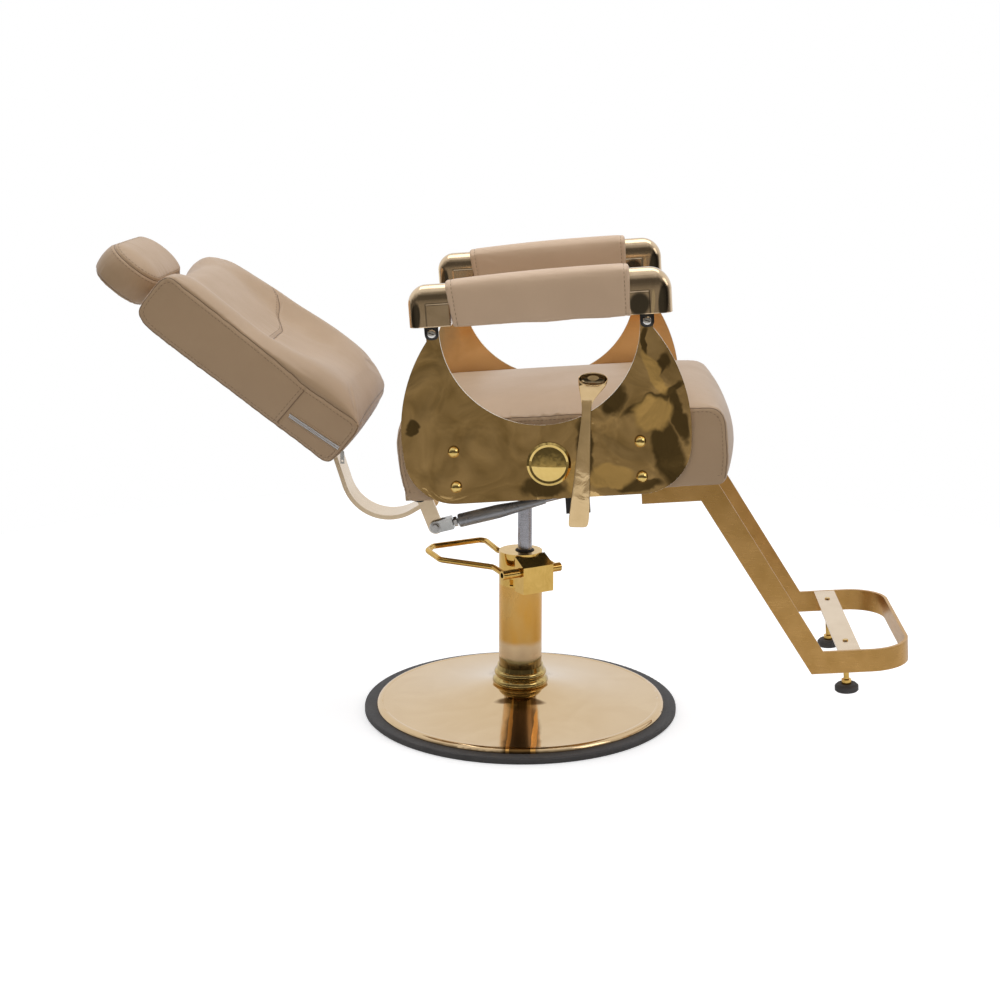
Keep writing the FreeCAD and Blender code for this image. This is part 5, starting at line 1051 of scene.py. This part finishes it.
def sleeve_ring(share, middle):
    """Section of a sleeve, at a share of its length from the rear."""
    swell = math.sin(math.pi * share) ** 0.6
    top = PAD_TOP + 9 * share + 3 * swell
    half = 27 + 1.2 * swell
    corners = [(-half, PAD_UNDER, 5), (half, PAD_UNDER, 5), (half, top - 22, 0), (half * 0.93, top - 9, 0),
               (half * 0.62, top - 1.5, 0), (0, top + 1, 0), (-half * 0.62, top - 1.5, 0),
               (-half * 0.93, top - 9, 0), (-half, top - 22, 0)]
    ring = recounted(rounded_loop(corners, 4.0), 64)
    slant = 11 * (1 - share) ** 8 * (1 - (ring[:, 1] - PAD_UNDER) / 78)
    wave = 1.4 * noise.noise(Vector((share * 7, middle / 50, 0))) * (ring[:, 1] < PAD_UNDER + 4)
    return np.stack([PAD_REAR + (PAD_FRONT - PAD_REAR) * share + slant, middle + ring[:, 0],
                     ring[:, 1] + wave], axis=1)


def pad_held(points):
    """Held are both ends and the underside."""
    here = local(points, SEAT)
    return (here[:, 0] < -60) | (here[:, 0] > 206) | (here[:, 2] < PAD_UNDER + 5)


def make_arm_pad(name, node, middle):
    """A sleeve on its rail; gives its hems, to be stitched."""
    rings = [sleeve_ring(share, middle) for share in np.linspace(0, 1, 34)]
    item = skin_over(name, SEAT, closed_off(rings, (0.5, 0, 0), 4))
    stuff(item, 0.004, 0.004, pad_held, 3.0)
    refine(item)
    hems = [closed_line(sleeve_ring(share, middle)) for share in HEMS]
    sewn_seam(item, SEAT, hems, depth=0.9, width=2.2, pucker=0.35, reach=9, seed=15)
    soft_piece(item, node, "seat", ARM_HIDE_PAINTED_LIGHTER)
    return [(item, SEAT, hem) for hem in hems]


# Arm caps: domed ends of the armrests, with a flat raised panel on each flank
REAR_CAP, FRONT_CAP = (-153, -82, 386), (288, 210, 392)
CAP_HALF = 23.4
CAP_UNDER = 316
CAP_WALL = 3.2
DOME_FROM = 354
PANEL_LONG, PANEL_PROUD = 41, 1.6


def cap_ring(level, size, middle, inset=0.0):
    """Plan of a cap at a height; size is (nose, joint, top)."""
    nose, joint, top = size
    turn = math.copysign(1, nose - joint)
    arc = top - DOME_FROM
    share = max(0.0, (level - DOME_FROM) / arc)
    half = CAP_HALF * (1 - share ** 2.3) ** 0.45 - inset
    tip = nose - turn * (arc * (1 - math.sqrt(1 - share ** 2)) + inset)
    start = joint + turn * inset
    bend = min(19, half * 0.9)
    loop = recounted(rounded_loop([(start, -half, 0.6), (tip, -half, bend), (tip, half, bend),
                                   (start, half, 0.6)], 0.5), 170)
    raised = PANEL_PROUD * min(1.0, max(0.0, (355.5 - level) / 2.5)) * (inset == 0)
    flank = np.clip((abs(loop[:, 1]) - half + 0.4) / 0.3, 0, 1)
    panel = np.clip((PANEL_LONG - abs(loop[:, 0] - joint)) / 1.2, 0, 1)
    loop[:, 1] += np.sign(loop[:, 1]) * raised * flank * panel
    return np.stack([loop[:, 0], middle + loop[:, 1], np.full(len(loop), float(level))], axis=1)


def make_arm_cap(name, node, middle, size):
    levels = [316.5, 318] + list(range(322, 347, 4)) + list(range(349, 358)) + [358.5]
    levels += [358.5 + (size[2] - 358.7) * math.sin(k * math.pi / 28) for k in range(1, 15)]
    inside = cap_ring(CAP_UNDER + 8, size, middle, CAP_WALL)
    rings = closing_rings(inside, (0, 0, 0), 3)[::-1] + [inside]
    rings += [cap_ring(CAP_UNDER, size, middle, inset) for inset in (CAP_WALL, 0.5)]
    rings += [cap_ring(level, size, middle) for level in levels]
    rings += closing_rings(rings[-1], (0, 0, 0.15), 4)
    hard_piece(skin_over(name, SEAT, rings), "seat", "gold", CAP_GOLD, stands_for=node)


# Ends of the arm brackets over the side plates, each with a slotted screw
SCREWS_AT = (-119, 245)
SCREW_HEIGHT = 301
SCREW_HEAD = ((7.4, 267.6), (7.4, 268.4), (6.9, 269), (5.5, 269.5), (3, 269.8))


def lying(outline, middle, depth):
    """A flat outline (u, w) of the seat's side, from the plane y = middle outwards by depth."""
    return closed_off([at_side(outline, middle), at_side(outline, middle + depth)], (0, 0, 0), 2)


def round_plate(u, w, radius):
    turns = np.linspace(0, 2 * math.pi, 40, endpoint=False)
    return np.stack([u + radius * np.cos(turns), w + radius * np.sin(turns)], axis=1)


def seat_part(name, slot, paint, skins, stands_for=None):
    """Skins of the seat's frame joined into one piece."""
    work = bmesh.new()
    for rings in skins:
        part = skin_over(name, SEAT, rings)
        work.from_mesh(part.data)
        bpy.data.meshes.remove(part.data)
    mesh = bpy.data.meshes.new(name)
    work.to_mesh(mesh)
    work.free()
    hard_piece(put(name, mesh), "seat", slot, paint, stands_for=stands_for)


def make_arm_screws():
    straps, heads = [], []
    for side in (-1, 1):
        for u in SCREWS_AT:
            strap = rounded_loop([(u - 12, 318, 0), (u - 12, 290, 11), (u + 12, 290, 11),
                                  (u + 12, 318, 0)], 1.5)
            slot = rounded_loop([(u - 5, 302, 0.4), (u + 4, 298.5, 0.4), (u + 5, 300, 0.4),
                                 (u - 4, 303.5, 0.4)], 0.6)
            straps += [lying(strap, side * 266.6, side * 1.2), lying(slot, side * 268.5, side * 1.42)]
            head = [at_side(round_plate(u, SCREW_HEIGHT, r), side * y) for r, y in SCREW_HEAD]
            heads.append(closing_rings(head[0], (0, 0, 0), 2)[::-1] + head
                         + closing_rings(head[-1], (0, side * 0.1, 0), 2))
    seat_part("bracket_ends", "dark_steel", DARK_STEEL, straps)
    seat_part("arm_screw_heads", "zinc", SCREW_STEEL, heads, "arm_screws")


# Recline lever: a pressed bar that flares into an oval cup. Its sections are given by height, rear
# edge, front edge and side, with their thickness where it flares, and the cup's by half width, half
# depth and how far it is sunk
LEVER_BAR = [(431, 96, 126, 281.5), (437, 94.6, 129.6, 281.7), (460, 96.9, 130.9, 282.6),
             (500, 101.3, 131, 284.1), (540, 105.7, 131.2, 285.7), (580, 110.1, 131.3, 287.4),
             (620, 114.5, 131.4, 289), (640, 116.2, 131.6, 290)]
LEVER_THICK = 5
LEVER_FLARE = [(650, 115.2, 133.4, 290.4, 6), (658, 113.9, 138, 291.2, 7.5), (666, 112.4, 144.4, 292.6, 10),
               (674, 110.8, 151.5, 294.8, 14), (681, 109.6, 156.8, 298, 19)]
CUP = [(24.6, 14.2, 1.2), (25, 14.6, 0), (24.6, 14.2, -0.6), (23.8, 13.4, -0.5), (23, 12.6, 1), (21, 11, 6),
       (16, 7.5, 10), (8, 3.5, 12)]
CUP_MIDDLE = (134, -290.5, 691)
CUP_TILT = math.radians(41)
SQUARE = 9
TURNS = [(math.cos(2 * math.pi * k / 56), math.sin(2 * math.pi * k / 56)) for k in range(56)]


def flat_ring(z, low, high, front, thick, power):
    """A flat bar's section, rounded at its corners; a lower power makes it rounder."""
    ring = []
    for c, s in TURNS:
        x = math.copysign(abs(c) ** (2 / power), c) * (high - low) / 2
        y = math.copysign(abs(s) ** (2 / power), s) * thick / 2
        ring.append(((low + high) / 2 + x, -front + thick / 2 + y, z))
    return np.array(ring)


def cup_ring(width, depth, sink):
    """An oval parallel to the mouth of the cup, sunk into it."""
    ring = []
    for c, s in TURNS:
        run = depth * s
        ring.append((CUP_MIDDLE[0] + width * c,
                     CUP_MIDDLE[1] + run * math.cos(CUP_TILT) + sink * math.sin(CUP_TILT),
                     CUP_MIDDLE[2] + run * math.sin(CUP_TILT) - sink * math.cos(CUP_TILT)))
    return np.array(ring)


def make_lever():
    rings = [flat_ring(*section, LEVER_THICK, SQUARE) for section in LEVER_BAR]
    rings += [flat_ring(*section, SQUARE - 1.2 * k) for k, section in enumerate(LEVER_FLARE)]
    rings += [cup_ring(*section) for section in CUP]
    item = skin_over("pull_lever", LEVEL, pointed(rings))
    refine(item, 2)
    mouth = Vector(CUP_MIDDLE) * MM
    out_of = Vector((0, -math.sin(CUP_TILT), math.cos(CUP_TILT)))
    # Faces inside the cup take the painted shade
    for face in item.data.polygons:
        face.material_index = int((face.center - mouth).dot(out_of) < -0.0005
                                  and face.normal.dot(mouth - out_of * 0.003 - face.center) > 0)
    hard_piece(item, "lever", "gold", LEVER_GOLD, CUP_SHADE_GOLD, stands_for="recline_lever")


# Side plates: cut sheet with broken edges, which catch the light; the edges are painted near white as a
# highlight
def cut_plate(name, node, outer_gold):
    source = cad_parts[node]
    mesh = bpy.data.meshes.new(name)
    work = bmesh.new()
    work.from_mesh(source.data)
    work.transform(source.matrix_world)
    bmesh.ops.remove_doubles(work, verts=work.verts, dist=0.00001)
    bmesh.ops.dissolve_limit(work, angle_limit=math.radians(0.5), verts=work.verts, edges=work.edges)
    work.to_mesh(mesh)
    work.free()
    item = put(name, mesh)
    bevel = item.modifiers.new("broken_edge", "BEVEL")
    bevel.width = 0.0013
    bevel.segments = 2
    bevel.limit_method = "ANGLE"
    bevel.angle_limit = math.radians(50)
    settle(item)
    side = math.copysign(1, item.data.vertices[0].co.y)
    for face in item.data.polygons:
        face.use_smooth = abs(face.normal.y) < 0.999
        # Edge faces take the painted highlight
        face.material_index = 2 if abs(face.normal.y) < 0.95 else int(face.normal.y * side < 0)
    hard_piece(item, "seat", "gold", outer_gold, INNER_GOLD, EDGE_HIGHLIGHT_GOLD, stands_for=node)


HANDS = (("right", -ARM_MIDDLE), ("left", ARM_MIDDLE))
finish_nodes()
cut_plate("near_side_plate", "side_plate_right", PLATE_GOLD)
cut_plate("far_side_plate", "side_plate_left", FAR_PLATE_GOLD)
make_seat_cushion()
make_back_cushion()
make_head_cushion()
hem_rows = [make_arm_pad(hand + "_arm_pad", "arm_pad_" + hand, middle) for hand, middle in HANDS]
stitched("arm_stitching", "seat", hem_rows[0] + hem_rows[1])
for hand, middle in HANDS:
    make_arm_cap(hand + "_rear_cap", "arm_cap_%s_rear" % hand, middle, REAR_CAP)
    make_arm_cap(hand + "_front_cap", "arm_cap_%s_front" % hand, middle, FRONT_CAP)
make_arm_screws()
make_lever()
